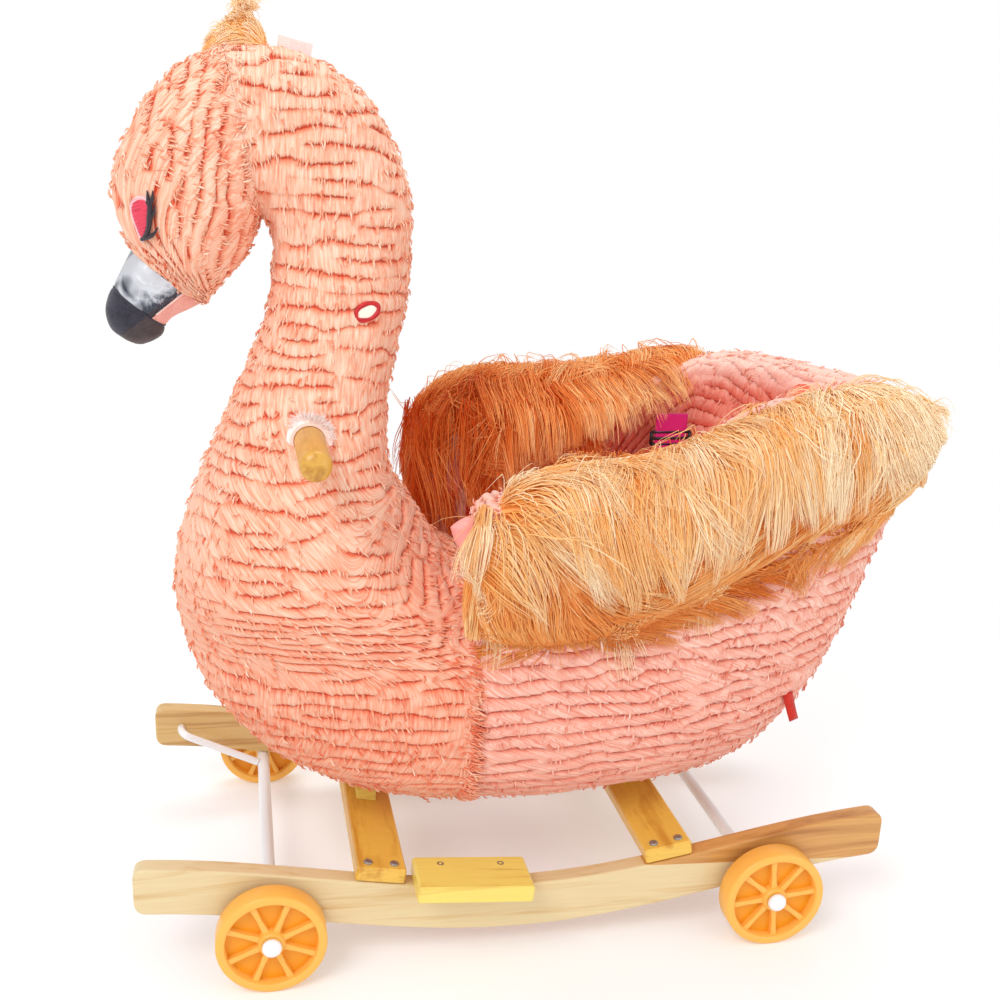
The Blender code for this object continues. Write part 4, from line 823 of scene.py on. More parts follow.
def make_body_skin():
    rows, mean = stuffed_rows(BODY_STATIONS, 0.0024, 300)
    arch = np.argmax(rows[:, :, 2].mean(axis=1) > ARCH_Z)
    along = np.repeat(mean[:, None], rows.shape[1], 1)
    level = mean[arch] + rows[:, :, 2] - rows[arch, :, 2].mean()
    blend = smooth_step(rows[:, :, 2], ARCH_Z - 0.03, ARCH_Z + 0.05)
    blend = blend * (np.arange(len(rows)) >= arch - 12)[:, None]
    along = along * (1 - blend) + level * blend
    across = around_distance(rows)
    # on the arch the streaks of the pile run down, like those of the neck below it
    for half in (rows[arch, :, 1] < 0, rows[arch, :, 1] >= 0):
        slope, start = np.polyfit(rows[arch - 20, half, 0], across[arch - 20, half], 1)
        across[:, half] = (across * (1 - blend) + (slope * rows[..., 0] + start) * blend)[:, half]
    field = band_field(rows, along, BODY_BAND, 11)
    # folds turn upright where the neck meets the seat
    armpit = near(rows * (1, 0, 1), (-0.088, 0.0, 0.335), 0.085)
    upright = rows[..., 2] * 0.35 - rows[..., 0]
    field = field * (1 - armpit) + band_field(rows, upright, BODY_BAND, 12) * armpit * 1.3
    along = along * (1 - armpit) + upright * armpit
    across = across * (1 - armpit) + rows[..., 2] * armpit
    # the pile swirls round the handle
    swirl = near(rows * (1, 0, 1), (HANDLE.x, 0.0, HANDLE.z), 0.045)
    turn = np.arctan2(rows[..., 2] - HANDLE.z, rows[..., 0] - HANDLE.x)
    radius = flat_gap(rows, HANDLE.x, HANDLE.z)
    rosette = np.exp(1j * (5 * turn + radius * 330 + 2.6 * noise(rows, 0.016, 14)))
    field = field * (1 - swirl) + rosette * swirl
    front = smooth_step(-rows[..., 0], 0.256, 0.300) * smooth_step(0.56 - rows[..., 2], 0.0, 0.12)
    front = front * smooth_step(rows[..., 2], 0.16, 0.23) * 0.70
    top_seam = smooth_step(np.arange(len(rows)), len(rows) - 6, len(rows) - 1)[:, None]
    tub_seam = smooth_step(rows[..., 0], SEAM_X - 0.010, SEAM_X - 0.001)
    plush = Plush(rows, along, BODY_BAND, 11, field=field,
                  smooth=np.maximum(np.maximum(front, top_seam), tub_seam * 0.8))
    rows = plush.rows
    seam = smooth_step(rows[..., 0], SEAM_X - 0.009, SEAM_X)
    outward = rows - rows.mean(axis=1, keepdims=True)
    outward[..., 0] = 0
    outward /= np.maximum(np.linalg.norm(outward, axis=2, keepdims=True), 1e-9)
    rows = rows + outward * (seam ** 2 * 0.0018)[..., None]
    dent = near(rows, PATCH_CENTRE, 0.020) * 0.0022
    rows = rows - plush.normals * dent[..., None]
    rows[..., 0] = np.minimum(rows[..., 0], SEAM_X + 0.0045)
    plush.rows = rows
    skin = show("body_skin", plush.mesh("body_skin", across=across, wrap=1 - armpit[:, -1]), coral_plush)
    belongs(skin, "coral_plush", "breast", "neck", fill=0.85)
    clear = (flat_gap(rows, PATCH_CENTRE.x, PATCH_CENTRE.z) > 0.0205) | (rows[..., 1] > 0)
    clear &= (flat_gap(rows, HANDLE.x, HANDLE.z) > 0.021) | (np.abs(rows[..., 1]) < 0.03)
    astray = np.maximum(smooth_step(np.arange(len(rows)), len(rows) - 9, len(rows) - 1)[:, None] * 0.8,
                        smooth_step(rows[..., 0], SEAM_X - 0.008, SEAM_X - 0.002))
    plush_tufts("body_tufts", plush, 7200, 111, coral_pile, clear, astray=astray)
    # pile of the breast lies over the seam to the tub
    at_seam = (rows[..., 0] > SEAM_X - 0.0050) & (rows[..., 0] < SEAM_X + 0.0040) & (rows[..., 2] < 0.35)
    plush_tufts("seam_tufts", plush, min(1500, int(at_seam.sum() * 0.7)), 114, coral_pile, at_seam, 1.7,
                way=(1.0, 0.0, -0.45))


def make_head_skin():
    rows, mean = stuffed_rows(HEAD_STATIONS, 0.0019, 190)
    # bands stand nearly upright on the skull, and follow the face towards the beak
    upright = 0.20 * rows[..., 2] - rows[..., 0]
    ringed = np.repeat(mean[:, None], rows.shape[1], 1)
    share = smooth_step(mean, mean[-1] * 0.55, mean[-1] * 0.95)[:, None]
    along = upright * (1 - share) + (ringed + upright.mean() - mean.mean()) * share
    ends = (1 - smooth_step(np.arange(len(rows)), 0, 5))[:, None]
    plush = Plush(rows, along, HEAD_BAND, 21, smooth=np.repeat(ends, rows.shape[1], 1))
    rows = plush.rows
    skin = show("head_skin", plush.mesh("head_skin"), coral_plush)
    belongs(skin, "coral_plush", "head", fill=0.85)
    clear = flat_gap(rows, EYE_CENTRE[0], EYE_CENTRE[1]) > 0.024
    astray = (1 - smooth_step(np.arange(len(rows)), 1, 9))[:, None] * np.ones(rows.shape[1]) * 0.8
    plush_tufts("head_tufts", plush, 1500, 112, coral_pile, clear, 0.9, astray=astray)


def tub_plan(height, direction):
    """Distance from (0.06, 0) to the tub's outer wall, for arrays of heights and unit directions."""
    table = smooth_path(TUB_SECTIONS, 8)
    rear, middle, half = (np.interp(height, table[:, 0], table[:, k]) for k in (1, 2, 3))
    low = np.zeros(height.shape)
    high = np.full(height.shape, 0.7)
    for _ in range(36):
        t = (low + high) / 2
        x = np.abs((TUB_CENTRE + t * direction[..., 0] - middle) / (rear - middle)) ** TUB_POWER
        inside = x + np.abs(t * direction[..., 1] / half) ** TUB_POWER < 1
        low = np.where(inside, t, low)
        high = np.where(inside, high, t)
    ahead = np.maximum(-direction[..., 0], 1e-6)
    front = (TUB_CENTRE - SEAM_X - 0.0005) / ahead
    return (low ** -14.0 + front ** -14.0) ** (-1 / 14.0)


def box_plan(height, direction, inset):
    """The same for the inner wall of the seat box."""
    to_front = (TUB_CENTRE - BOX_FRONT_X - inset) / np.maximum(-direction[..., 0], 1e-6)
    rear = 0.218 + (height - 0.205) * BACK_LEAN - inset - TUB_CENTRE
    to_rear = rear / np.maximum(direction[..., 0], 1e-6)
    half = BOX_FRONT_HALF - (TUB_CENTRE - BOX_FRONT_X) * BOX_TAPER - inset
    to_side = half / np.maximum(np.abs(direction[..., 1]) + direction[..., 0] * BOX_TAPER, 1e-6)
    return (to_front ** -12.0 + to_rear ** -12.0 + to_side ** -12.0) ** (-1 / 12.0)


def tub_rings():
    """Rings of one closed skin: underside, outer wall, rolled rim, inner wall and floor. Also how
    far along the bands each point is, and where the roll of the rim starts and ends."""
    columns = 460
    turn = np.linspace(0, TAU, 4001)[:-1]
    direction = np.stack([np.cos(turn), np.sin(turn)], -1)
    reach = tub_plan(np.full(4000, 0.33), direction)
    ring = even_ring(direction * reach[:, None], columns)
    direction = ring / np.linalg.norm(ring, axis=1, keepdims=True)
    outline = ring + np.array((TUB_CENTRE, 0.0))
    rim = np.interp(outline[:, 0], [x for x, _ in RIM], [z for _, z in RIM])
    dip = smooth_step(SADDLE_HALF + 0.006 - np.abs(outline[:, 1]), 0.0, 0.014) * (outline[:, 0] < -0.045)
    rim = rim * (1 - dip) + SADDLE_Z * dip
    table = smooth_path(TUB_SECTIONS, 12)
    table = table[table[:, 0] <= 0.47]
    arc = np.concatenate([[0], np.cumsum(np.hypot(np.diff(table[:, 0]), np.diff(table[:, 3])))])
    count = 130
    share = np.linspace(0, 1, count)
    wall = []
    for j in range(columns):
        top = rim[j] - RIM_ROLL
        limit = np.interp(top, table[:, 0], arc)
        wall.append(np.interp(share * limit, arc, table[:, 0]))
    z = np.array(wall).T
    ways = np.repeat(direction[None], count, 0)
    far = tub_plan(z, ways)
    outer = np.stack([TUB_CENTRE + far * ways[..., 0], far * ways[..., 1], z], -1)
    inner_far = box_plan(rim, direction, BOARD_WALL)
    inner = np.stack([TUB_CENTRE + inner_far * direction[:, 0], inner_far * direction[:, 1]], -1)
    edge = outer[-1, :, :2]
    middle = (edge + inner) / 2
    roll = []
    rolls = 18
    for k in range(1, rolls + 1):
        angle = math.pi * k / rolls
        flat = middle + (edge - middle) * math.cos(angle)
        lift = RIM_ROLL * math.sin(angle) ** 0.8
        roll.append(np.column_stack([flat, rim - RIM_ROLL + lift]))
    roll = np.array(roll)
    down = []
    for share in np.concatenate([np.arange(1, 31) * 0.0115, np.linspace(0.46, 1.0, 5)]):
        height = (rim - RIM_ROLL) + (SEAT_TOP_Z + 0.0005 - rim + RIM_ROLL) * share
        spread = box_plan(height, direction, BOARD_WALL)
        down.append(np.column_stack([TUB_CENTRE + spread * direction[:, 0], spread * direction[:, 1], height]))
    floor = down[-1].copy()
    floor[:, :2] = (floor[:, :2] - (TUB_CENTRE, 0)) * 0.5 + (TUB_CENTRE, 0)
    under = []
    for share in (0.30, 0.62):
        flat = outer[0].copy()
        flat[:, :2] = (flat[:, :2] - (TUB_CENTRE, 0)) * share + (TUB_CENTRE, 0)
        under.append(flat)
    rows = np.concatenate([np.array(under), outer, roll, np.array(down), floor[None]])
    step = np.linalg.norm(np.diff(rows, axis=0), axis=2)
    along = np.concatenate([np.zeros((1, columns)), np.cumsum(step, axis=0)])
    # bands lie level on the wall, and follow the roll above it
    base = np.interp(rows[..., 2], table[:, 0], arc)
    start = len(under) + count
    level = along.copy()
    level[:start] = base[:start]
    level[start:] = base[start - 1] + along[start:] - along[start - 1]
    return rows, level, start, start + rolls


def make_tub_skin():
    rows, level, start, end = tub_rings()
    field = band_field(rows, level - 0.06 * rows[..., 0], TUB_BAND, 41, 0.13)
    plain_share = np.zeros(rows.shape[:2])
    plain_share[end + 28:] = 1.0
    plush = Plush(rows, level, TUB_BAND, 41, field=field, smooth=plain_share)
    rows = plush.rows
    number = np.arange(len(rows))[:, None]
    crown = smooth_step(number, start - 3, start + 5) * (1 - smooth_step(number, end, end + 6))
    plush.pale = np.maximum(plush.pale, crown * 0.9)
    # painted shade, strongest on the inner wall of the seat
    inside = smooth_step(number, end - 2, end + 7) * np.ones(rows.shape[1])
    plush.warm = np.maximum(plush.warm * 0.7, inside * 1.9)
    seam = smooth_step(-rows[..., 0], -SEAM_X - 0.009, -SEAM_X) * (rows[..., 2] < 0.40)
    rows[..., 1] -= np.sign(rows[..., 1]) * seam ** 2 * 0.0012
    rows[..., 0] = np.maximum(rows[..., 0], SEAM_X + 0.0005)
    # the plush gives way where the flipped axle lies against it
    pressed = np.clip(0.0100 - flat_gap(rows, *AXLE_UP), 0.0, None)
    rows -= plush.normals * pressed[..., None]
    plush.rows = rows
    skin = show("tub_skin", plush.mesh("tub_skin"), pink_plush)
    belongs(skin, "coral_plush", "seat_tub", fill=0.8)
    clear = (flat_gap(rows, *AXLE_UP) > 0.017) * (number < end + 12)
    astray = smooth_step(-rows[..., 0], -SEAM_X - 0.009, -SEAM_X - 0.001)
    plush_tufts("tub_tufts", plush, 6800, 113, pink_pile, clear, astray=astray)


# Pads in the seat, swelled by a cloth simulation

def swell(piece, pressure=4.0, limit=0.006):
    """Lets the cover of a pad fill out, and keeps the result in its mesh."""
    mesh = piece.data
    rest = np.empty(len(mesh.vertices) * 3)
    mesh.vertices.foreach_get("co", rest)
    scene = bpy.context.scene
    cloth = piece.modifiers.new("Cloth", "CLOTH")
    cloth.settings.use_pressure = True
    cloth.settings.uniform_pressure_force = pressure
    cloth.settings.effector_weights.gravity = 0.0
    cloth.settings.quality = 5
    cloth.settings.tension_stiffness = 25
    cloth.settings.compression_stiffness = 15
    cloth.settings.bending_stiffness = 0.4
    cloth.settings.shrink_min = -0.04
    cloth.point_cache.frame_start = 1
    cloth.point_cache.frame_end = 20
    for step in range(1, 21):
        scene.frame_set(step)
    evaluated = piece.evaluated_get(bpy.context.evaluated_depsgraph_get())
    moved = np.empty(len(rest))
    evaluated.data.vertices.foreach_get("co", moved)
    shift = (moved - rest).reshape(-1, 3)
    length = np.linalg.norm(shift, axis=1, keepdims=True)
    shift *= np.minimum(1, limit / np.maximum(length, 1e-9))
    piece.modifiers.remove(cloth)
    scene.frame_set(1)
    mesh.vertices.foreach_set("co", rest + shift.ravel())
    mesh.update()


def pad_skin(node, finish, along_axis, seed, pitch=0.0125, inset=0.0015):
    """Plush pad from a solid of the frame: remeshed, swelled, then banded."""
    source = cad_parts[node]
    bm = bmesh.new()
    bm.from_mesh(source.data)
    bmesh.ops.remove_doubles(bm, verts=bm.verts, dist=1e-5)
    mesh = bpy.data.meshes.new(node + "_skin")
    bm.to_mesh(mesh)
    bm.free()
    piece = show(node + "_skin", mesh)
    remesh = piece.modifiers.new("Remesh", "REMESH")
    remesh.mode = "VOXEL"
    remesh.voxel_size = 0.005
    keep_result(piece)
    swell(piece)
    divide = piece.modifiers.new("Finer", "SUBSURF")
    divide.levels = 1
    divide.render_levels = 1
    keep_result(piece)
    mesh = piece.data
    points = np.empty(len(mesh.vertices) * 3)
    mesh.vertices.foreach_get("co", points)
    points = points.reshape(-1, 3)
    normals = np.empty(len(mesh.vertices) * 3)
    mesh.vertex_normals.foreach_get("vector", normals)
    normals = normals.reshape(-1, 3)
    axis = np.array(along_axis, float)
    along = points @ (axis / np.linalg.norm(axis))
    across = points @ np.array((0.33, 0.91, 0.11))
    field = band_field(points, along, pitch, seed)
    wave, _, broken, height = band_values(points, field, pitch)
    offset = -inset - 0.0026 * (1 - height) + noise(points, 0.009, 34) * 0.0004
    mesh.vertices.foreach_set("co", (points + normals * offset[:, None]).ravel())
    # crests a little paler, painted highlight
    set_values(mesh, wave_a=wave.real, wave_b=wave.imag, broken=broken,
               pale=smooth_step(height, 0.6, 1.0) * 0.2, warm=np.zeros(len(points)))
    loops = np.empty(len(mesh.loops), int)
    mesh.loops.foreach_get("vertex_index", loops)
    uv = np.stack([across[loops], along[loops]], -1)
    mesh.uv_layers.new(name="Fibres").data.foreach_set("uv", uv.ravel().astype(np.float32))
    mesh.materials.clear()
    mesh.materials.append(finish)
    mesh.shade_smooth()
    belongs(piece, "coral_plush", node, fill=0.7)


def keep_result(piece):
    """Turns a piece with its modifiers into a plain mesh."""
    graph = bpy.context.evaluated_depsgraph_get()
    graph.update()
    made = bpy.data.meshes.new_from_object(piece.evaluated_get(graph), preserve_all_data_layers=True,
                                           depsgraph=graph)
    piece.modifiers.clear()
    piece.data = made
    return piece


# Long fur

def strand_tree():
    """Sweeps a three-sided strand along every edge chain, thinner where its thickness says so."""
    tree = bpy.data.node_groups.new("Strands", "GeometryNodeTree")
    face = tree.interface
    face.new_socket(name="Geometry", in_out="INPUT", socket_type="NodeSocketGeometry")
    sizes = {}
    for name, kind in (("Strand radius", "NodeSocketFloat"), ("Finish", "NodeSocketMaterial")):
        sizes[name] = face.new_socket(name=name, in_out="INPUT", socket_type=kind).identifier
    face.new_socket(name="Geometry", in_out="OUTPUT", socket_type="NodeSocketGeometry")
    nodes, links = tree.nodes, tree.links
    start = nodes.new("NodeGroupInput")
    end = nodes.new("NodeGroupOutput")
    curve = nodes.new("GeometryNodeMeshToCurve")
    thick = nodes.new("GeometryNodeInputNamedAttribute")
    thick.data_type = "FLOAT"
    thick.inputs["Name"].default_value = "thick"
    scale = nodes.new("ShaderNodeMath")
    scale.operation = "MULTIPLY"
    radius = nodes.new("GeometryNodeSetCurveRadius")
    ring = nodes.new("GeometryNodeCurvePrimitiveCircle")
    ring.inputs["Radius"].default_value = 1.0
    ring.inputs["Resolution"].default_value = 3
    sweep = nodes.new("GeometryNodeCurveToMesh")
    sweep.inputs["Fill Caps"].default_value = True
    smooth = nodes.new("GeometryNodeSetShadeSmooth")
    finish = nodes.new("GeometryNodeSetMaterial")
    real = nodes.new("GeometryNodeRealizeInstances")
    links.new(start.outputs["Geometry"], curve.inputs[0])
    links.new(curve.outputs[0], radius.inputs["Curve"])
    links.new(thick.outputs["Attribute"], scale.inputs[0])
    links.new(start.outputs["Strand radius"], scale.inputs[1])
    links.new(scale.outputs[0], radius.inputs["Radius"])
    links.new(radius.outputs[0], sweep.inputs["Curve"])
    links.new(ring.outputs["Curve"], sweep.inputs["Profile Curve"])
    if "Scale" in sweep.inputs:
        links.new(scale.outputs[0], sweep.inputs["Scale"])
    links.new(sweep.outputs[0], smooth.inputs[0])
    links.new(smooth.outputs[0], real.inputs[0])
    links.new(real.outputs[0], finish.inputs[0])
    links.new(start.outputs["Finish"], finish.inputs["Material"])
    links.new(finish.outputs[0], end.inputs[0])
    return tree, sizes


STRANDS, STRAND_INPUTS = strand_tree()


def sweep_strands(name, paths, thick, tone, radius, finish):
    """Fur from paths (strand, step, xyz); thick and tone give a number for each point."""
    count, steps, _ = paths.shape
    first = np.arange(count)[:, None] * steps + np.arange(steps - 1)[None]
    edges = np.stack([first, first + 1], -1).reshape(-1, 2)
    mesh = bpy.data.meshes.new(name)
    mesh.from_pydata(paths.reshape(-1, 3).tolist(), edges.tolist(), [])
    set_values(mesh, thick=thick, tone=tone)
    piece = show(name, mesh)
    sweep = piece.modifiers.new("Strands", "NODES")
    sweep.node_group = STRANDS
    sweep[STRAND_INPUTS["Strand radius"]] = radius
    sweep[STRAND_INPUTS["Finish"]] = finish
    return keep_result(piece)


def wing_table(side, shrink=0.0):
    """Sections of a wing, drawn in all round by the same distance."""
    return smooth_path(WING_SECTIONS[side], 8) + np.array((0.0, 1.0, -1.0, 1.0, -1.0)) * shrink


def wing_section(table, x):
    """Inner edge, outer edge, lower edge and ridge of a wing at x."""
    return [np.interp(x, table[:, 0], table[:, k]) for k in (1, 2, 3, 4)]


def lay_over(points, table, lowest, highest=None):
    """Keeps points, given with positive y, outside a wing and within `highest` of its surface."""
    x = np.clip(points[..., 0], table[0, 0] + 0.004, table[-1, 0] - 0.010)
    inner, outer, low, ridge = wing_section(table, x)
    middle_y, middle_z = (inner + outer) / 2, (low + ridge) / 2
    half_y, half_z = (outer - inner) / 2, (ridge - low) / 2
    dy, dz = points[..., 1] - middle_y, points[..., 2] - middle_z
    beside = (points[..., 0] > table[0, 0] - lowest) & (points[..., 0] < table[-1, 0] + 0.010)
    for limit, inside in ((lowest, True), (highest, False)):
        if limit is None:
            continue
        size = (np.abs(dy / (half_y + limit)) ** WING_POWER
                + np.abs(dz / (half_z + limit)) ** WING_POWER) ** (1 / WING_POWER)
        move = beside & (size < 1) if inside else beside & (size > 1) & (points[..., 2] > low + 0.006)
        scale = np.where(move, 1 / np.maximum(size, 0.05), 1.0)
        dy, dz = dy * scale, dz * scale
    return np.stack([points[..., 0], middle_y + dy, middle_z + dz], -1)


def push_from_pad(points, clearance):
    """Keeps points out of the pad along the side of the seat."""
    x, y, z = points[..., 0], points[..., 1], points[..., 2]
    gaps = np.stack([x - (PAD_FRONT_X - clearance), y - (PAD_INNER_Y - clearance)], -1)
    within = (gaps > 0).all(axis=-1) & (z < PAD_TOP_Z + 2.4 * clearance - 0.001) & (y < PAD_OUTER_Y)
    nearest = gaps.argmin(axis=-1)
    moved = points.copy()
    moved[..., 0] = np.where(within & (nearest == 0), PAD_FRONT_X - clearance, x)
    moved[..., 1] = np.where(within & (nearest == 1), PAD_INNER_Y - clearance, y)
    return moved


def push_from_tub(points, clearance, table):
    """Keeps points outside the tub's outer wall, and close to it where they hang below the wing."""
    flat = points[..., :2] - np.array((TUB_CENTRE, 0.0))
    distance = np.linalg.norm(flat, axis=-1)
    way = flat / np.maximum(distance, 1e-6)[..., None]
    reach = tub_plan(np.clip(points[..., 2], 0.113, 0.48), way) + clearance
    rim = np.interp(points[..., 0], [x for x, _ in RIM], [z for _, z in RIM])
    beside = (points[..., 2] < rim + 0.004) & (distance < reach) & (distance > reach - 0.030)
    low = np.interp(points[..., 0], table[:, 0], table[:, 3])
    furthest = reach + 0.002 + 1.1 * np.clip(points[..., 2] - low + 0.002, 0, None)
    hanging = (points[..., 2] < low + 0.020) & (distance > furthest)
    new_reach = np.where(hanging, furthest, reach)
    moved = points.copy()
    moved[..., :2] = np.where((beside | hanging)[..., None], way * new_reach[..., None] + (TUB_CENTRE, 0.0),
                              points[..., :2])
    return moved


def fur_paths(roots, normals, lay, length, draw, guides, steps=7, droop=0.25, table=None, lock=0.8,
              swirl=0.22, curl=0.10, base=0.0, loft=0.0075, pad=False, astray=0.04, hug=True):
    """Strand paths that follow the lay, gathered into locks towards their tips."""
    count = len(roots)
    paths = np.empty((count, steps, 3))
    paths[:, 0] = roots - normals * 0.001
    wide = np.stack([noise(roots, 0.075, 51 + axis) for axis in range(3)], -1)
    way = lay + wide * swirl + normals * 0.30 + draw.normal(0, 0.07, (count, 3))
    way /= np.linalg.norm(way, axis=1, keepdims=True)
    layer = draw.uniform(0, 1, count) ** 1.2
    stray = draw.uniform(0, 1, count) < astray
    wave = np.where(stray, 3.0, 1.0)[:, None] * curl
    for k in range(1, steps):
        share = k / (steps - 1)
        small = np.stack([noise(paths[:, k - 1], 0.028, 54 + axis) for axis in range(3)], -1)
        way = way + small * wave + np.array((0.0, 0.0, -droop)) * share
        if table is None:
            way = way - normals * np.clip((way * normals).sum(axis=1, keepdims=True), 0.0, None) * 0.35
        way /= np.linalg.norm(way, axis=1, keepdims=True)
        point = paths[:, k - 1] + way * (length / (steps - 1))[:, None]
        if table is not None:
            lift = 0.0006 + (base + loft * layer) * min(1.0, share * 2)
            furthest = lift + 0.0012 + np.where(stray, 0.009, 0.0) if hug else None
            point = lay_over(point, table, lift, furthest)
            point[:, 0] = np.minimum(point[:, 0], table[-1, 0] + 0.002 + 0.004 * layer)
            point = push_from_tub(point, 0.0012 + 0.003 * share * layer, table)
            if pad:
                point = push_from_pad(point, 0.0010 + 0.009 * share * layer)
            way = way * 0.35 + (point - paths[:, k - 1]) / (length / (steps - 1))[:, None] * 0.65
        paths[:, k] = point
    chosen = draw.choice(count, min(guides, count), replace=False)
    nearest = np.empty(count, int)
    for start in range(0, count, 2000):
        part = roots[start:start + 2000]
        gap = np.linalg.norm(part[:, None] - roots[chosen][None], axis=2)
        nearest[start:start + 2000] = chosen[gap.argmin(axis=1)]
    hold = lock * draw.uniform(0.45, 1.0, count) * np.where(stray, 0.25, 1.0)
    gather = (np.linspace(0, 1, steps) ** 1.4)[None, :, None] * hold[:, None, None]
    spread = (roots - roots[nearest])[:, None, :] * 0.25
    paths = paths * (1 - gather) + (paths[nearest] + spread) * gather
    if table is not None:
        paths[:, 1:] = lay_over(paths[:, 1:], table, 0.0006)
    if pad:
        paths[:, 1:] = push_from_pad(paths[:, 1:], 0.0008 + 0.004 * layer[:, None])
    return paths, nearest, layer


def wing_roots(count, draw, table, part, start):
    """Random roots on a wing with positive y, and their normals."""
    points, normals = [], []
    while len(points) < count:
        batch = count * 2
        x = draw.uniform(start + 0.001, table[-1, 0] - 0.001, batch)
        turn = draw.uniform(part[0], part[1], batch)
        inner, outer, low, ridge = wing_section(table, x)
        c, s = np.cos(turn), np.sin(turn)
        y = (inner + outer) / 2 + (outer - inner) / 2 * np.sign(c) * np.abs(c) ** (2 / WING_POWER)
        z = (low + ridge) / 2 + (ridge - low) / 2 * np.sign(s) * np.abs(s) ** (2 / WING_POWER)
        power = WING_POWER - 1
        ny = np.sign(c) * np.abs(c) ** (2 * power / WING_POWER) / (outer - inner)
        nz = np.sign(s) * np.abs(s) ** (2 * power / WING_POWER) / (ridge - low)
        slope = np.interp(x, (table[1:, 0] + table[:-1, 0]) / 2, np.diff(table[:, 4]) / np.diff(table[:, 0]))
        normal = np.stack([-slope * 0.3 * np.abs(nz), ny, nz], -1)
        normal /= np.linalg.norm(normal, axis=1, keepdims=True)
        keep = draw.uniform(0, 1, batch) < np.minimum(1, (outer - inner) / 0.09)
        points.extend(np.stack([x, y, z], -1)[keep])
        normals.extend(normal[keep])
    return np.array(points[:count]), np.array(normals[:count])


def tapered(draw, paths, taper, power, spread):
    """How far along its strand each point is, and the thickness there, less at the tip."""
    share = np.linspace(0, 1, paths.shape[1])
    return share, (1 - taper * share ** power)[None] * draw.uniform(*spread, len(paths))[:, None]


def lock_shades(draw, nearest):
    """Own shade of each strand, with the one that it shares with its lock."""
    count = len(nearest)
    return draw.normal(0, 0.08, count) + draw.normal(0, 0.13, count)[nearest]


# How the pile of a wing runs, by layer: (x, rearwards share, share over the ridge and down)
OVER_FLOW = [(-0.09, 0.70, 1.0), (-0.03, 0.55, 1.0), (0.03, 0.20, 1.0), (0.08, -0.05, 1.0),
             (0.14, -0.10, 1.0), (0.20, 0.15, 1.0), (0.26, 0.55, 1.0), (0.32, 0.75, 1.0)]
UNDER_FLOW = [(-0.09, -0.10, 1.0), (-0.04, 0.10, 1.0), (0.01, 0.50, 0.55), (0.05, 1.0, -0.05),
              (0.12, 1.0, -0.32), (0.33, 1.0, -0.30)]
INNER_FLOW = [(-0.09, 0.05, -1.0), (-0.02, 0.15, -1.0), (0.10, 0.30, -1.0), (0.20, 0.45, -1.0),
              (0.33, 1.1, -0.5)]
REAR_FLOW = [(0.23, 0.8, -0.8), (0.30, 0.8, -0.9), (0.33, 0.7, -1.0)]
REAR_START_X = 0.225              # the pile behind this runs rearwards and down on the inner side
INNER_END_X = 0.205               # behind this the inside of a wing is bare, and shows the seat
# Layers: (name, part of the section in half turns, strands of the left and right wing, flow, length,
# tone, height over the backing, loft, droop)
FUR_LAYERS = [
    ("under", (-0.50, 0.24), (3900, 2400), UNDER_FLOW, (0.045, 0.075), -0.02, 0.0, 0.0022, 0.02),
    ("over", (0.16, 0.88), (5000, 3800), OVER_FLOW, (0.058, 0.104), 0.06, 0.0030, 0.0050, 0.14),
    ("inner", (0.52, 1.00), (0, 4200), INNER_FLOW, (0.052, 0.105), 0.04, 0.0, 0.0065, 0.50),
    ("rear", (0.55, 1.52), (1300, 1200), REAR_FLOW, (0.034, 0.060), 0.02, 0.0, 0.0040, 0.15),
]


# Fringes at the side pads: strands, share of them ahead of the pad, first x of the rest and how
# far they spread, outermost y ahead of the pad, highest root of the rest
FRINGES = {"left": (800, 0.0, 0.020, 0.070, 0.095, 0.423),
           "right": (1800, 0.50, -0.050, 0.135, 0.142, 0.442)}


def wing_backing(side, mirror, table):
    """Closed shell under the pile of a wing."""
    name = "wing_backing_" + side
    shell_table = wing_table(side, WING_BACKING_INSET)
    ends = np.linspace(table[0, 0] + 0.004, table[-1, 0] - 0.004, 90)
    rings = []
    for x, inner, outer, low, ridge in resample(shell_table, shell_table[:, 0], ends):
        centre = np.array((x, (inner + outer) / 2, (low + ridge) / 2))
        rings.append(oval_ring(centre, np.array((0, max(outer - inner, 0.004) / 2, 0)),
                               np.array((0, 0, (ridge - low) / 2)), WING_POWER, 90))
    rings = np.array(rings)
    rings = rings + grid_normals(rings) * (noise(rings, 0.02, 61) * 0.0015)[..., None]
    cloth = fur_backing if side == "left" else painted_shade_backing
    belongs(show(name, grid_mesh(name, rings * mirror), cloth), "blonde_fur", "wing_" + side, fill=0.6)


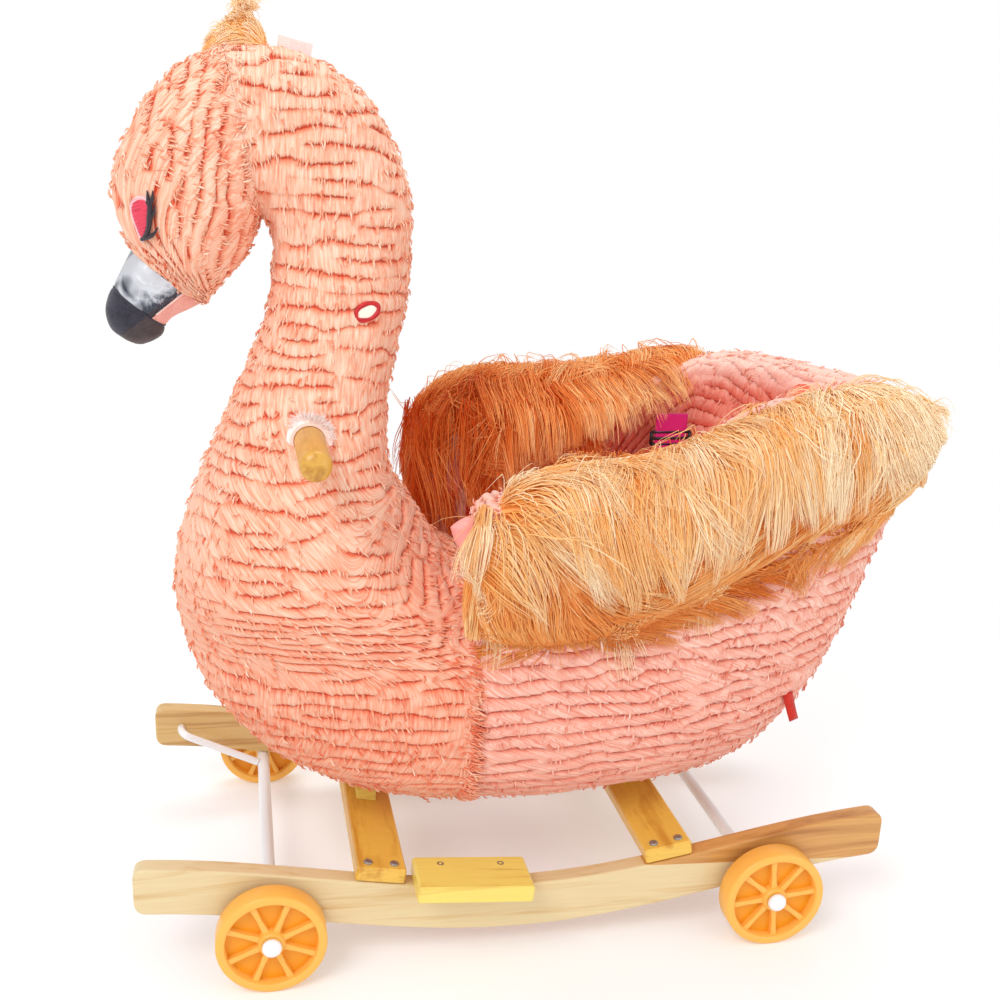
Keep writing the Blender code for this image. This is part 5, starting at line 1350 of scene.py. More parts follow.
def wing_layer(side, mirror, table, draw, name, part, count, flow, lengths, shift, base, loft, droop):
    """One layer of the pile of a wing."""
    inside = name == "inner"
    flow = np.array(flow)
    start = REAR_START_X if name == "rear" else table[0, 0]
    roots, normals = wing_roots(count, draw, table, (part[0] * math.pi, part[1] * math.pi), start)
    over = np.stack([np.zeros(count), normals[:, 2], -normals[:, 1]], -1)
    rearwards, down = (np.interp(roots[:, 0], flow[:, 0], flow[:, k])[:, None] for k in (1, 2))
    lay = np.array((1.0, 0.0, 0.0)) * rearwards + over * down
    lay -= normals * (lay * normals).sum(axis=1, keepdims=True)
    lay /= np.maximum(np.linalg.norm(lay, axis=1, keepdims=True), 1e-6)
    length = draw.uniform(*lengths, count)
    # tips end a little past the lower edge and the rear end
    low = np.interp(roots[:, 0], table[:, 0], table[:, 3])
    falls = np.where(-lay[:, 2] > 0.25, (roots[:, 2] - low + 0.004) / np.maximum(-lay[:, 2], 0.25), 1.0)
    end, speed = table[-1, 0] + 0.004, lay[:, 0]
    if name == "over":
        # the locks over the rear half stop above the lower pile
        rear_half = smooth_step(roots[:, 0], 0.04, 0.12) * (1 - smooth_step(roots[:, 0], 0.24, 0.30))
        falls -= 0.030 * rear_half
    if inside:
        falls += 0.060
        reach = INNER_END_X - 1.7 * np.clip(0.480 - roots[:, 2], 0, None)
        keep = roots[:, 0] < reach
        roots, normals, lay, length, falls = (rows[keep] for rows in (roots, normals, lay, length, falls))
        count = len(roots)
        end = reach[keep] + 0.010
        speed = lay[:, 0] + 1.7 * np.clip(-lay[:, 2], 0, None)
    runs = np.where(speed > 0.3, (end - roots[:, 0]) / np.maximum(speed, 0.3), 1.0)
    length = np.clip(np.minimum(np.minimum(falls, runs), length), 0.014, None)
    paths, nearest, layer = fur_paths(roots, normals, lay, length, draw, count // 22, table=table,
                                      droop=droop, lock=0.84, swirl=0.34, base=base, loft=loft,
                                      curl=0.15 if name == "over" else 0.10, pad=inside,
                                      hug=not inside, astray=0.0 if name == "under" else 0.04)
    share, thick = tapered(draw, paths, 0.82, 1.7, (0.65, 1.30))
    lock_shade = draw.normal(0, 0.15, count)[nearest]
    shade = draw.normal(0, 0.06, count) + lock_shade
    # strands lying lower in the pile are a little darker, painted shade
    shade = shade + 0.12 * noise(roots, 0.045, 62) + 0.10 * (layer - 0.5)
    whiter = smooth_step(roots[:, 0], 0.16, 0.30) * 0.36
    # painted shade: the inner pile darker towards its front
    if inside:
        whiter -= 0.36 * smooth_step(0.03 - roots[:, 0], 0.0, 0.08)
    tone = 0.20 + 0.60 * share[None] ** 0.8 + (shade + shift + whiter)[:, None]
    # painted shade: strands darker where they hang below the lower edge of the wing
    edge = np.interp(paths[..., 0], table[:, 0], table[:, 3])
    tone -= 0.34 * smooth_step(edge + 0.014 - paths[..., 2], 0.0, 0.016)
    near_fur = golden_fur if name == "under" else blond_fur
    fur = sweep_strands("wing_fur_%s_%s" % (side, name), paths * mirror, thick, np.clip(tone, 0, 1),
                        WING_STRAND, painted_shade_fur if inside or side == "right" else near_fur)
    belongs(fur, "blonde_fur")


def wing_fringe(side, mirror, draw):
    """Fur that hangs in front of the side pad and down its inner face."""
    count, share_ahead, start, run, widest, top = FRINGES[side]
    ahead = draw.uniform(0, 1, count) < share_ahead
    x = np.where(ahead, draw.uniform(-0.094, -0.054, count), start + run * draw.uniform(0, 1, count) ** 1.2)
    y = np.where(ahead, draw.uniform(0.068, widest, count), draw.uniform(0.0625, 0.0665, count))
    z = np.where(ahead, draw.uniform(0.345, 0.430, count), draw.uniform(0.375, top, count))
    normals = np.where(ahead[:, None], (-1.0, -0.2, 0.0), (0.0, -1.0, 0.0))
    lay = np.stack([draw.normal(0.10, 0.22, count), draw.normal(-0.05, 0.10, count),
                    np.full(count, -1.0)], -1)
    length = draw.uniform(0.040, 0.090, count) * (1 - 0.60 * smooth_step(x, 0.02, 0.10))
    paths, nearest, _ = fur_paths(np.stack([x, y, z], -1), normals, lay, length, draw, count // 26,
                                  swirl=0.60, curl=0.26, pad=True)
    share, thick = tapered(draw, paths, 0.8, 1.7, (0.65, 1.35))
    shade = lock_shades(draw, nearest) + 0.18 * smooth_step(x, -0.02, 0.06)
    tone = np.clip(0.16 + 0.50 * share[None] + shade[:, None], 0, 1)
    fringe = sweep_strands("wing_fringe_" + side, paths * mirror, thick, tone, FRINGE_STRAND,
                           painted_shade_fur if side == "right" else golden_fur)
    belongs(fringe, "blonde_fur")


def wing_ends(side, mirror, table, draw):
    """Pile over the two ends of a wing."""
    for end, at, way, count, root_tone, near_fur in (("front", 0.006, -1.0, 760, 0.24, golden_fur),
                                                     ("rear", 0.994, 1.0, 560, 0.42, blond_fur)):
        x = np.interp(at, (0, 1), (table[0, 0], table[-1, 0]))
        inner, outer, low, ridge = wing_section(table, x)
        turn = draw.uniform(0, TAU, count)
        spread = draw.uniform(0, 1, count) ** 0.5 * 1.25
        roots = np.stack([np.full(count, x) - way * 0.012 * np.clip(spread - 0.7, 0, 1),
                          (inner + outer) / 2 + (outer - inner) / 2 * spread * np.cos(turn),
                          (low + ridge) / 2 + (ridge - low) / 2 * spread * np.sin(turn)], -1)
        normals = np.tile((way, 0.0, 0.0), (count, 1))
        lay = np.stack([np.full(count, way * 0.1), draw.normal(0, 0.15, count), np.full(count, -1.0)], -1)
        length = np.clip(draw.uniform(0.030, 0.052, count), 0.012, roots[:, 2] - low + 0.016)
        paths, nearest, _ = fur_paths(roots, normals, lay, length, draw, count // 22, droop=0.15)
        share, thick = tapered(draw, paths, 0.8, 1.7, (0.65, 1.35))
        shade = lock_shades(draw, nearest)
        tone = np.clip(root_tone + 0.50 * share[None] + shade[:, None], 0, 1)
        tuft = sweep_strands("wing_%s_end_%s" % (end, side), paths * mirror, thick, tone, FRINGE_STRAND,
                             painted_shade_fur if side == "right" else near_fur)
        belongs(tuft, "blonde_fur")


def make_wisps():
    """Stray wisps that hang from the left wing over the tub."""
    draw = np.random.default_rng(77)
    table = wing_table("left", WING_PILE_INSET)
    parts = []
    for lead, spread, count in ((0.045, 0.007, 60), (0.120, 0.006, 45), (-0.072, 0.006, 60)):
        x = lead + draw.normal(0, spread, count)
        low = np.interp(x, table[:, 0], table[:, 3])
        ahead = lead < 0
        z = low + draw.uniform(0.004, 0.060 if ahead else 0.020, count)
        roots = np.stack([x, np.interp(x, table[:, 0], table[:, 2]) - 0.006, z], -1)
        normals = np.tile((0.0, 0.8, -0.6), (count, 1))
        lay = np.stack([draw.normal(-0.9 if ahead else 0.10, 0.30, count), np.full(count, 0.15),
                        draw.normal(-0.45 if ahead else -1.0, 0.25, count)], -1)
        length = draw.uniform(0.022, 0.048, count) if ahead else draw.uniform(0.034, 0.072, count)
        bent, _, _ = fur_paths(roots, normals, lay, length, draw, 7, droop=0.2, table=table, lock=0.7,
                               swirl=0.5, curl=0.15 if ahead else 0.42)
        parts.append(bent)
    paths = np.concatenate(parts)
    count = len(paths)
    share = np.linspace(0, 1, paths.shape[1])
    thick = np.tile(1 - 0.7 * share, (count, 1))
    tone = np.clip(0.62 + 0.34 * share[None] + draw.normal(0, 0.07, count)[:, None], 0, 1)
    wisps = sweep_strands("wing_wisps", paths * (1.0, -1.0, 1.0), thick, tone, WISP_STRAND, blond_fur)
    belongs(wisps, "blonde_fur")


def make_wings():
    for number, (side, sign) in enumerate(SIDES):
        table = wing_table(side, WING_PILE_INSET)
        mirror = np.array((1.0, sign, 1.0))
        wing_backing(side, mirror, table)
        draw = np.random.default_rng(70 + number)
        for name, part, counts, *look in FUR_LAYERS:
            if counts[number]:
                wing_layer(side, mirror, table, draw, name, part, counts[number], *look)
        wing_fringe(side, mirror, draw)
        wing_ends(side, mirror, table, draw)
    make_wisps()


def make_arm_rolls():
    """Satin-covered roll at the front end of each arm of the seat."""
    outline = smooth_path(ROLL_OUTLINE + ROLL_OUTLINE[:1], 8)[:-1]
    middle = outline.mean(axis=0)
    for side, sign in SIDES:
        rings = []
        for y, size in ((0.0735, 0.25), (0.0745, 0.62), (0.078, 0.88), (0.086, 1.0), (0.112, 1.0),
                        (0.118, 0.8), (0.120, 0.3)):
            shifted = middle + (outline - middle) * size + (y - 0.086) * np.array((-0.20, 0.30))
            rings.append(np.column_stack([shifted[:, 0], np.full(len(outline), sign * y), shifted[:, 1]]))
        rings = np.array(rings)
        rings = rings + grid_normals(rings) * (noise(rings, 0.012, 91) * 0.0012)[..., None]
        roll = show("arm_roll_" + side, grid_mesh("arm_roll_" + side, rings), roll_satin)
        belongs(roll, "coral_plush", fill=0.8)


def make_crest():
    rows, _ = stuffed_rows(CREST_STATIONS, 0.0015, 60)
    rows = rows - grid_normals(rows) * 0.0045
    base = show("crest_backing", grid_mesh("crest_backing", rows), fur_backing)
    belongs(base, "blonde_fur", "crest", fill=0.6)
    draw = np.random.default_rng(81)
    count = 2300
    normals = grid_normals(rows).reshape(-1, 3)
    picks = draw.integers(0, len(normals), count)
    roots = rows.reshape(-1, 3)[picks] + draw.normal(0, 0.0008, (count, 3))
    normals = normals[picks]
    # combed forwards: the rear rises and curls over, the front falls towards the brow
    height = smooth_step(roots[:, 2], 0.716, 0.756)
    lay = np.stack([-0.30 - 0.70 * (1 - height), -np.sign(roots[:, 1]) * 0.35 * height,
                    1.1 * height - 0.55 * (1 - height)], -1)
    lay -= normals * (lay * normals).sum(axis=1, keepdims=True) * 0.7
    lay /= np.linalg.norm(lay, axis=1, keepdims=True)
    length = draw.uniform(0.013, 0.025, count) * (0.75 + 0.35 * smooth_step(roots[:, 0], -0.272, -0.235))
    paths, nearest, _ = fur_paths(roots, normals, lay, length, draw, 60, droop=0.22, curl=0.2)
    paths[..., 2] = np.minimum(paths[..., 2], CREST_TOP)
    share, thick = tapered(draw, paths, 0.8, 1.5, (0.6, 1.3))
    shade = 0.34 * height + draw.normal(0, 0.08, count) + draw.normal(0, 0.08, count)[nearest]
    tone = np.clip(0.16 + 0.40 * share[None] + shade[:, None], 0, 1)
    belongs(sweep_strands("crest_fur", paths, thick, tone, CREST_STRAND, crest_fur), "blonde_fur")


# Beak, eyes and small sewn parts

def slice_mesh(bm, point, normal):
    """Keeps the side of the plane that the normal points away from, and closes the cut."""
    everything = bm.verts[:] + bm.edges[:] + bm.faces[:]
    bmesh.ops.bisect_plane(bm, geom=everything, dist=1e-7, plane_co=point, plane_no=normal, clear_outer=True)
    rim = [edge for edge in bm.edges if edge.is_boundary]
    bmesh.ops.holes_fill(bm, edges=rim, sides=0)


def beak_rows():
    rows, _ = stuffed_rows(BEAK_STATIONS, 0.0012, 110)
    rows = rows + np.array((-0.61, 0.0, -0.79)) * 0.0006
    # the panels are drawn in along their seams
    pull = np.zeros(rows.shape[:2])
    for point, direction in (TIP_CUT, MOUTH_CUT):
        gap = np.abs((rows - np.array(point)) @ np.array(direction.normalized()))
        if point is MOUTH_CUT[0]:
            gap = gap + np.clip((rows - np.array(TIP_CUT[0])) @ np.array(TIP_CUT[1].normalized()), 0, None) * 3
        pull = np.maximum(pull, np.exp(-(gap / 0.0022) ** 2))
    normals = grid_normals(rows)
    return rows - normals * (pull * 0.0011 - noise(rows, 0.012, 91) * 0.0005)[..., None]


def make_beak():
    rows = beak_rows()
    for name, node, slot, finish, cuts in (
        ("beak_foil", "beak_upper", "silver_fabric", silver_foil, ((TIP_CUT, 1), (MOUTH_CUT, 1))),
        ("beak_jaw", "beak_lower", "pink_fabric", jaw_satin, ((TIP_CUT, 1), (MOUTH_CUT, -1))),
        ("beak_tip_felt", "beak_tip", "charcoal_felt", navy_felt, ((TIP_CUT, -1),)),
    ):
        bm = bmesh.new()
        bm.from_mesh(grid_mesh(name + "_whole", rows))
        for (point, direction), side in cuts:
            slice_mesh(bm, point - direction * side * 0.00015, direction * side)
        piece = show(name, finish_bmesh(name, bm, 50.0), finish)
        if node == "beak_tip":
            piece.data.materials.append(grey_felt)
            for face in piece.data.polygons:
                if (Vector(face.center) - MOUTH_CUT[0]).dot(MOUTH_CUT[1]) > -0.0035:
                    face.material_index = 1
        belongs(piece, slot, node, fill=0.9)
    normals = grid_normals(rows)
    for name, (point, direction), finish, radius in (("tip_piping", TIP_CUT, navy_felt, 0.0007),
                                                     ("mouth_piping", MOUTH_CUT, piping_cloth, 0.0009)):
        side = (rows - np.array(point)) @ np.array(direction.normalized())
        line = []
        columns = rows.shape[1]
        if name == "tip_piping":
            for j in range(columns):
                crossing = np.nonzero(np.diff(np.sign(side[:, j])))[0]
                if len(crossing):
                    i = crossing[0]
                    t = side[i, j] / (side[i, j] - side[i + 1, j])
                    spot = rows[i, j] * (1 - t) + rows[i + 1, j] * t
                    line.append(spot + normals[i, j] * 0.0002)
            line.append(line[0])
            seam = [np.array(line)]
        else:
            seam = []
            beyond = (rows - np.array(TIP_CUT[0])) @ np.array(TIP_CUT[1].normalized())
            for part in (slice(0, columns // 2), slice(columns // 2, columns)):
                line = []
                for i in range(len(rows)):
                    crossing = np.nonzero(np.diff(np.sign(side[i, part])))[0]
                    if len(crossing) and beyond[i].max() < 0.006:
                        j = crossing[0] + part.start
                        t = side[i, j] / (side[i, j] - side[i, j + 1])
                        line.append(rows[i, j] * (1 - t) + rows[i, j + 1] * t + normals[i, j] * 0.0003)
                if len(line) > 3:
                    seam.append(np.array(line))
        meshes = [grid_mesh("%s_%d" % (name, k), tube_rows(path, radius, 8)) for k, path in enumerate(seam)]
        piece = show(name, join_meshes(name, meshes), finish)
        belongs(piece, "charcoal_felt" if finish is navy_felt else "pink_fabric")


def head_surface(points):
    """Side face of the head at (x, z), as a positive y."""
    table = smooth_path(HEAD_STATIONS, 30)
    front = table[:, 0:2]
    back = table[:, 2:4]
    centre = (front + back) / 2
    half = np.linalg.norm(front - back, axis=1) / 2
    axis = (front - back) / np.maximum(half * 2, 1e-9)[:, None]
    normal = np.stack([-axis[:, 1], axis[:, 0]], -1)
    result = []
    for point in points:
        offset = point - centre
        row = np.abs((offset * normal).sum(axis=1)).argmin()
        share = min(abs((offset[row] * axis[row]).sum()) / half[row], 0.98)
        result.append(table[row, 4] * (1 - share ** 2.2) ** (1 / 2.2))
    return np.array(result)


def patch_mesh(name, outline, cells, lift, thick, sign, stitch):
    """Embroidered patch laid on the head: a filled outline of (x, z), raised and closed."""
    outline = even_ring(np.array(outline), cells)
    middle = outline.mean(axis=0)
    rings = []
    for share, height in ((1.0, 0.0), (1.0, 0.55), (0.93, 1.0), (0.70, 1.15), (0.40, 1.2)):
        flat = middle + (outline - middle) * share
        y = head_surface(flat) + lift + thick * height
        rings.append(np.column_stack([flat[:, 0], sign * y, flat[:, 1]]))
    rings = np.array(rings)
    along = rings @ np.array((math.cos(stitch), 0.0, math.sin(stitch)))
    across = rings @ np.array((-math.sin(stitch), 0.0, math.cos(stitch)))
    return grid_mesh(name, rings, along, across=across, wrap=0.0)


def make_eyes():
    """Embroidered eye: rosy iris with a pale edge, and a dark lid with lashes behind it."""
    outline = np.array([(-0.3246, 0.6160), (-0.3200, 0.6184), (-0.3149, 0.6172), (-0.3138, 0.6106),
                        (-0.3150, 0.6018), (-0.3176, 0.5932), (-0.3206, 0.5902), (-0.3234, 0.5973),
                        (-0.3259, 0.6060), (-0.3264, 0.6118)])
    iris = smooth_path(np.vstack([outline, outline[:1]]), 6)[:-1]
    centre = iris.mean(axis=0)
    edge = centre + (iris - centre) * 1.24
    # strokes of (x, z), with the half width at the start, in the middle and at the end of each
    strokes = [
        ([(-0.3131, 0.6190), (-0.3122, 0.6128), (-0.3130, 0.6048), (-0.3147, 0.5960), (-0.3195, 0.5890)],
         (0.0016, 0.0024, 0.0013)),
        ([(-0.3136, 0.6160), (-0.3134, 0.6200), (-0.3137, 0.6252)], (0.0016, 0.0013, 0.0004)),
        ([(-0.3118, 0.6140), (-0.3100, 0.6196), (-0.3094, 0.6252)], (0.0016, 0.0014, 0.0004)),
        ([(-0.3124, 0.6050), (-0.3098, 0.6086), (-0.3086, 0.6142)], (0.0016, 0.0013, 0.0004)),
        ([(-0.3204, 0.5889), (-0.3150, 0.5908), (-0.3104, 0.5938), (-0.3074, 0.5985)],
         (0.0015, 0.0017, 0.0005)),
    ]
    for side, sign in SIDES:
        parts = (("eye_edge", edge, 0.0006, 0.0011, edge_thread),
                 ("eye_iris", iris, 0.0016, 0.0011, eye_thread))
        for name, outline, lift, thick, finish in parts:
            made = patch_mesh("%s_%s" % (name, side), outline, 56, lift, thick, sign, 0.3)
            piece = show(made.name, made, finish)
            belongs(piece, "red_thread")
        made = []
        for line, widths in strokes:
            line = smooth_path(line, 8)
            y = head_surface(line) + 0.0021
            path = np.column_stack([line[:, 0], sign * y, line[:, 1]])
            share = np.linspace(0, 1, len(path))
            radius = np.interp(share, (0, 0.5, 1), widths)
            made.append(grid_mesh("stroke", tube_rows(path, radius, 8), np.linspace(0, 0.02, len(path))))
        lashes = show("eye_lashes_" + side, join_meshes("eye_lashes_" + side, made), dark_thread)
        belongs(lashes, "charcoal_felt")


def make_press_patch():
    """Bare cream patch with a thick red stitched border."""
    along = np.array((math.cos(PATCH_TILT), 0.0, math.sin(PATCH_TILT)))
    across = np.array((-math.sin(PATCH_TILT), 0.0, math.cos(PATCH_TILT)))
    turn = np.linspace(0, TAU, 96, endpoint=False)
    centre = np.array(PATCH_CENTRE)
    path = centre + np.outer(np.cos(turn) * (PATCH_HALF[0] - 0.0018), along)
    path = path + np.outer(np.sin(turn) * (PATCH_HALF[1] - 0.0018), across) - np.array((0, 0.0006, 0))
    radius = 0.0019 + 0.0002 * np.sin(turn * 5)
    rows = tube_rows(np.vstack([path, path[:1]]), np.append(radius, radius[0]), 10)
    made = grid_mesh("press_border", rows, np.linspace(0, 0.06, len(rows)))
    border = show("press_border", made, red_thread)
    rings = []
    for depth, share in ((0.0090, 0.88), (0.0085, 0.95), (0.0004, 0.95), (-0.0006, 0.86), (-0.0014, 0.5)):
        rings.append(centre + np.array((0, depth, 0)) + np.outer(np.cos(turn) * PATCH_HALF[0] * share, along)
                     + np.outer(np.sin(turn) * PATCH_HALF[1] * share, across))
    rings = np.array(rings)
    made = grid_mesh("press_face", rings, rings[..., 0], across=rings[..., 2], wrap=0.0)
    face = show("press_face", made, cream_thread)
    belongs(border, "red_thread", body="press_button")
    belongs(face, "red_thread", "press_patch", body="press_button")


def make_side_tag():
    """Small folded tag, sewn in at its top edge."""
    rings = []
    for step in np.linspace(0, 1, 9):
        out = 0.0012 + 0.0055 * step ** 1.6
        middle = np.array((0.2265 + 0.0065 * step, -0.0965 - out, 0.2045 - 0.0250 * step))
        aside = np.array((0.0046, 0.0012 * step, 0.0010))
        flat = np.array((0.0, 0.00045, 0.0))
        rings.append([middle - aside - flat, middle + aside - flat, middle + aside + flat,
                      middle - aside + flat])
    tag = show("side_tag", grid_mesh("side_tag", np.array(rings)), red_tape)
    belongs(tag, "red_thread", "side_label")


# Rocker base and wheels

def runner_edge(x):
    wave = math.pi * min(abs(x - ROCKER_X) / RUNNER_CURVE, 1.0)
    return RUNNER_BOTTOM_Z + RUNNER_RISE * (1 - math.cos(wave)) / 2


def slope_at(x):
    return (runner_edge(x + 0.001) - runner_edge(x - 0.001)) / 0.002


def make_runners():
    steps = 90
    stretch = RUNNER_HALF_LENGTH
    for side, sign in SIDES:
        outline = []
        for k in range(steps + 1):
            x = ROCKER_X - stretch + 2 * stretch * k / steps
            outline.append((x, runner_edge(x)))
        top = [(x, z + RUNNER_HEIGHT) for x, z in reversed(outline)]
        loop = outline + top
        corners = {0: 1, steps: 1, steps + 1: 1, 2 * steps + 1: 1}
        points = []
        for index, here in enumerate(loop):
            if index not in corners:
                if min(abs(here[0] - ROCKER_X - stretch), abs(here[0] - ROCKER_X + stretch)) > RUNNER_CORNER:
                    points.append(here)
                continue
            before = Vector(loop[index - 1]) - Vector(here)
            after = Vector(loop[(index + 1) % len(loop)]) - Vector(here)
            one = Vector(here) + before.normalized() * RUNNER_CORNER
            two = Vector(here) + after.normalized() * RUNNER_CORNER
            for t in np.linspace(0, 1, 9):
                spot = one * (1 - t) ** 2 + Vector(here) * 2 * t * (1 - t) + two * t ** 2
                points.append((spot.x, spot.y))
        bm = bmesh.new()
        rows = [[bm.verts.new((x, sign * y, z)) for x, z in points]
                for y in (RUNNER_OUTER_Y - RUNNER_THICKNESS, RUNNER_OUTER_Y)]
        bm.faces.new(rows[0])
        bm.faces.new(rows[1])
        for i in range(len(points)):
            j = (i + 1) % len(points)
            bm.faces.new((rows[0][i], rows[0][j], rows[1][j], rows[1][i]))
        wood = pale_wood if side == "left" else aged_wood
        piece = show("runner_wood_" + side, finish_bmesh("runner_wood_" + side, bm, 50.0), wood)
        soften = piece.modifiers.new("Bevel", "BEVEL")
        soften.width = 0.0022
        soften.segments = 3
        soften.limit_method = "ANGLE"
        soften.angle_limit = math.radians(50)
        soften.harden_normals = True
        keep_result(piece)
        belongs(piece, "pale_wood", "runner_" + side)


def screw_tree():
    """Sets a domed screw head with a cross recess on every point."""
    tree = bpy.data.node_groups.new("Screws", "GeometryNodeTree")
    face = tree.interface
    names = {}
    for name, kind in (("Geometry", "NodeSocketGeometry"), ("Head", "NodeSocketObject"),
                       ("Finish", "NodeSocketMaterial")):
        names[name] = face.new_socket(name=name, in_out="INPUT", socket_type=kind).identifier
    face.new_socket(name="Geometry", in_out="OUTPUT", socket_type="NodeSocketGeometry")
    nodes, links = tree.nodes, tree.links
    start = nodes.new("NodeGroupInput")
    end = nodes.new("NodeGroupOutput")
    head = nodes.new("GeometryNodeObjectInfo")
    tilt = nodes.new("GeometryNodeInputNamedAttribute")
    tilt.data_type = "FLOAT_VECTOR"
    tilt.inputs["Name"].default_value = "tilt"
    place = nodes.new("GeometryNodeInstanceOnPoints")
    real = nodes.new("GeometryNodeRealizeInstances")
    finish = nodes.new("GeometryNodeSetMaterial")
    links.new(start.outputs["Geometry"], place.inputs["Points"])
    links.new(start.outputs["Head"], head.inputs["Object"])
    links.new(head.outputs["Geometry"], place.inputs["Instance"])
    links.new(tilt.outputs["Attribute"], place.inputs["Rotation"])
    links.new(place.outputs[0], real.inputs[0])
    links.new(real.outputs[0], finish.inputs[0])
    links.new(start.outputs["Finish"], finish.inputs["Material"])
    links.new(finish.outputs[0], end.inputs[0])
    return tree, names


def make_screws():
    radius = 0.0038
    bm = bmesh.new()
    profile = [(radius, -0.0010), (radius, 0.0003), (radius * 0.85, 0.0009), (radius * 0.5, 0.0012),
               (radius * 0.25, 0.0006)]
    rows = [[bm.verts.new((r * math.cos(TAU * k / 16), r * math.sin(TAU * k / 16), z)) for k in range(16)]
            for r, z in profile]
    for one, two in zip(rows, rows[1:]):
        for k in range(16):
            m = (k + 1) % 16
            bm.faces.new((one[k], one[m], two[m], two[k]))
    bm.faces.new(rows[0])
    bm.faces.new(rows[-1])
    head = show("screw_head", finish_bmesh("screw_head", bm, 50.0))
    points, tilts = [], []
    for x, thick, spread, side_y in ((BAR_X[0], BAR_THICKNESS, 0.011, 0.143),
                                     (BAR_X[1], BAR_THICKNESS, 0.011, 0.143),
                                     (FOOTREST_X, FOOTREST_THICKNESS, 0.026, 0.1435)):
        angle = math.atan(slope_at(x))
        for dx in (-spread, spread):
            for sign in (-1, 1):
                here = x + dx
                z = runner_edge(x) + RUNNER_HEIGHT + 0.0011 + thick / math.cos(angle) + dx * math.tan(angle)
                points.append((here - thick * math.sin(angle), sign * side_y, z))
                tilts.append((0.0, -angle, 0.0))
    mesh = bpy.data.meshes.new("screws")
    mesh.from_pydata(points, [], [])
    layer = mesh.attributes.new("tilt", "FLOAT_VECTOR", "POINT")
    layer.data.foreach_set("vector", np.array(tilts).ravel())
    piece = show("screws", mesh)
    tree, names = screw_tree()
    placed = piece.modifiers.new("Screws", "NODES")
    placed.node_group = tree
    placed[names["Head"]] = head
    placed[names["Finish"]] = dull_steel
    keep_result(piece)
    bpy.data.objects.remove(head)
    belongs(piece, "white_steel")


def spoke_mesh(hub, angle):
    """Rib of a wheel, wider at its two ends."""
    out = Vector((math.cos(angle), 0.0, math.sin(angle)))
    flat = Vector((-math.sin(angle), 0.0, math.cos(angle)))
    section = ((-1, -1), (-0.55, -1.12), (0.55, -1.12), (1, -1), (1, 1), (0.55, 1.12), (-0.55, 1.12), (-1, 1))
    rows = []
    for r in (0.0102, 0.0125, 0.0240, 0.0355, 0.0384):
        wide = 0.0019 + 0.0012 * (abs(r - 0.0240) / 0.0140) ** 3
        rows.append([np.array(hub + out * r + flat * wide * a + Vector((0, 0.0064 * b, 0)))
                     for a, b in section])
    return grid_mesh("spoke", np.array(rows))


def cap_outline(sign):
    """Plug and domed head of an axle cap, as (radius, y) pairs."""
    start = 0.1798
    rim = start + 0.0012
    profile = [(0.0, start - 0.010), (0.0043, start - 0.010), (0.0043, start), (0.0079, start), (0.0080, rim)]
    for k in range(1, 8):
        a = math.pi / 2 * k / 8
        profile.append((0.0080 * math.cos(a), rim + 0.0045 * math.sin(a)))
    profile.append((0.0, start + 0.0057))
    return [(r, sign * y) for r, y in profile]


def make_wheels():
    half = WHEEL_HALF
    tyre = [(0.0375, -half + 0.0012), (0.0382, -half + 0.0003), (0.0392, -half), (0.0428, -half),
            (0.0442, -half + 0.0005), (WHEEL_RADIUS, -half + 0.0018), (WHEEL_RADIUS, half - 0.0018),
            (0.0442, half - 0.0005), (0.0428, half), (0.0392, half), (0.0382, half - 0.0003),
            (0.0375, half - 0.0012), (0.0372, 0.0022), (0.0372, -0.0022)]
    web = [(0.0100, -0.0016), (0.0378, -0.0016), (0.0378, 0.0016), (0.0100, 0.0016)]
    boss = [(0.0063, -half), (0.0098, -half), (0.0108, -half + 0.0010), (0.0116, -0.0014),
            (0.0116, 0.0014), (0.0108, half - 0.0010), (0.0098, half), (0.0063, half)]
    for (end, way), turn in zip(ENDS, SPOKE_TURN):
        for side, sign in SIDES:
            hub = Vector((ROCKER_X + way * AXLE_X, sign * WHEEL_Y, WHEEL_RADIUS))
            parts = [turned_mesh("tyre", tyre, 96, hub, 30.0), turned_mesh("boss", boss, 48, hub, 30.0)]
            parts += [spoke_mesh(hub, turn + TAU * k / 8) for k in range(8)]
            rim = join_meshes("wheel_body_%s_%s" % (end, side), parts)
            rim.set_sharp_from_angle(angle=math.radians(40))
            wheel = "%s_%s_wheel" % (end, side)
            belongs(show(rim.name, rim, yellow_rim), "yellow_plastic", "%s_wheel_%s" % (end, side), body=wheel)
            disc = show("wheel_web_%s_%s" % (end, side), turned_mesh("web", web, 64, hub), painted_shade_web)
            belongs(disc, "yellow_plastic", body=wheel)
            cap = turned_mesh("axle_cap", cap_outline(sign), 40, Vector((hub.x, 0.0, hub.z)))
            cap = show("axle_cap_%s_%s" % (end, side), cap, white_cap)
            belongs(cap, "white_plastic", "%s_cap_%s" % (end, side), body=end + "_frame")


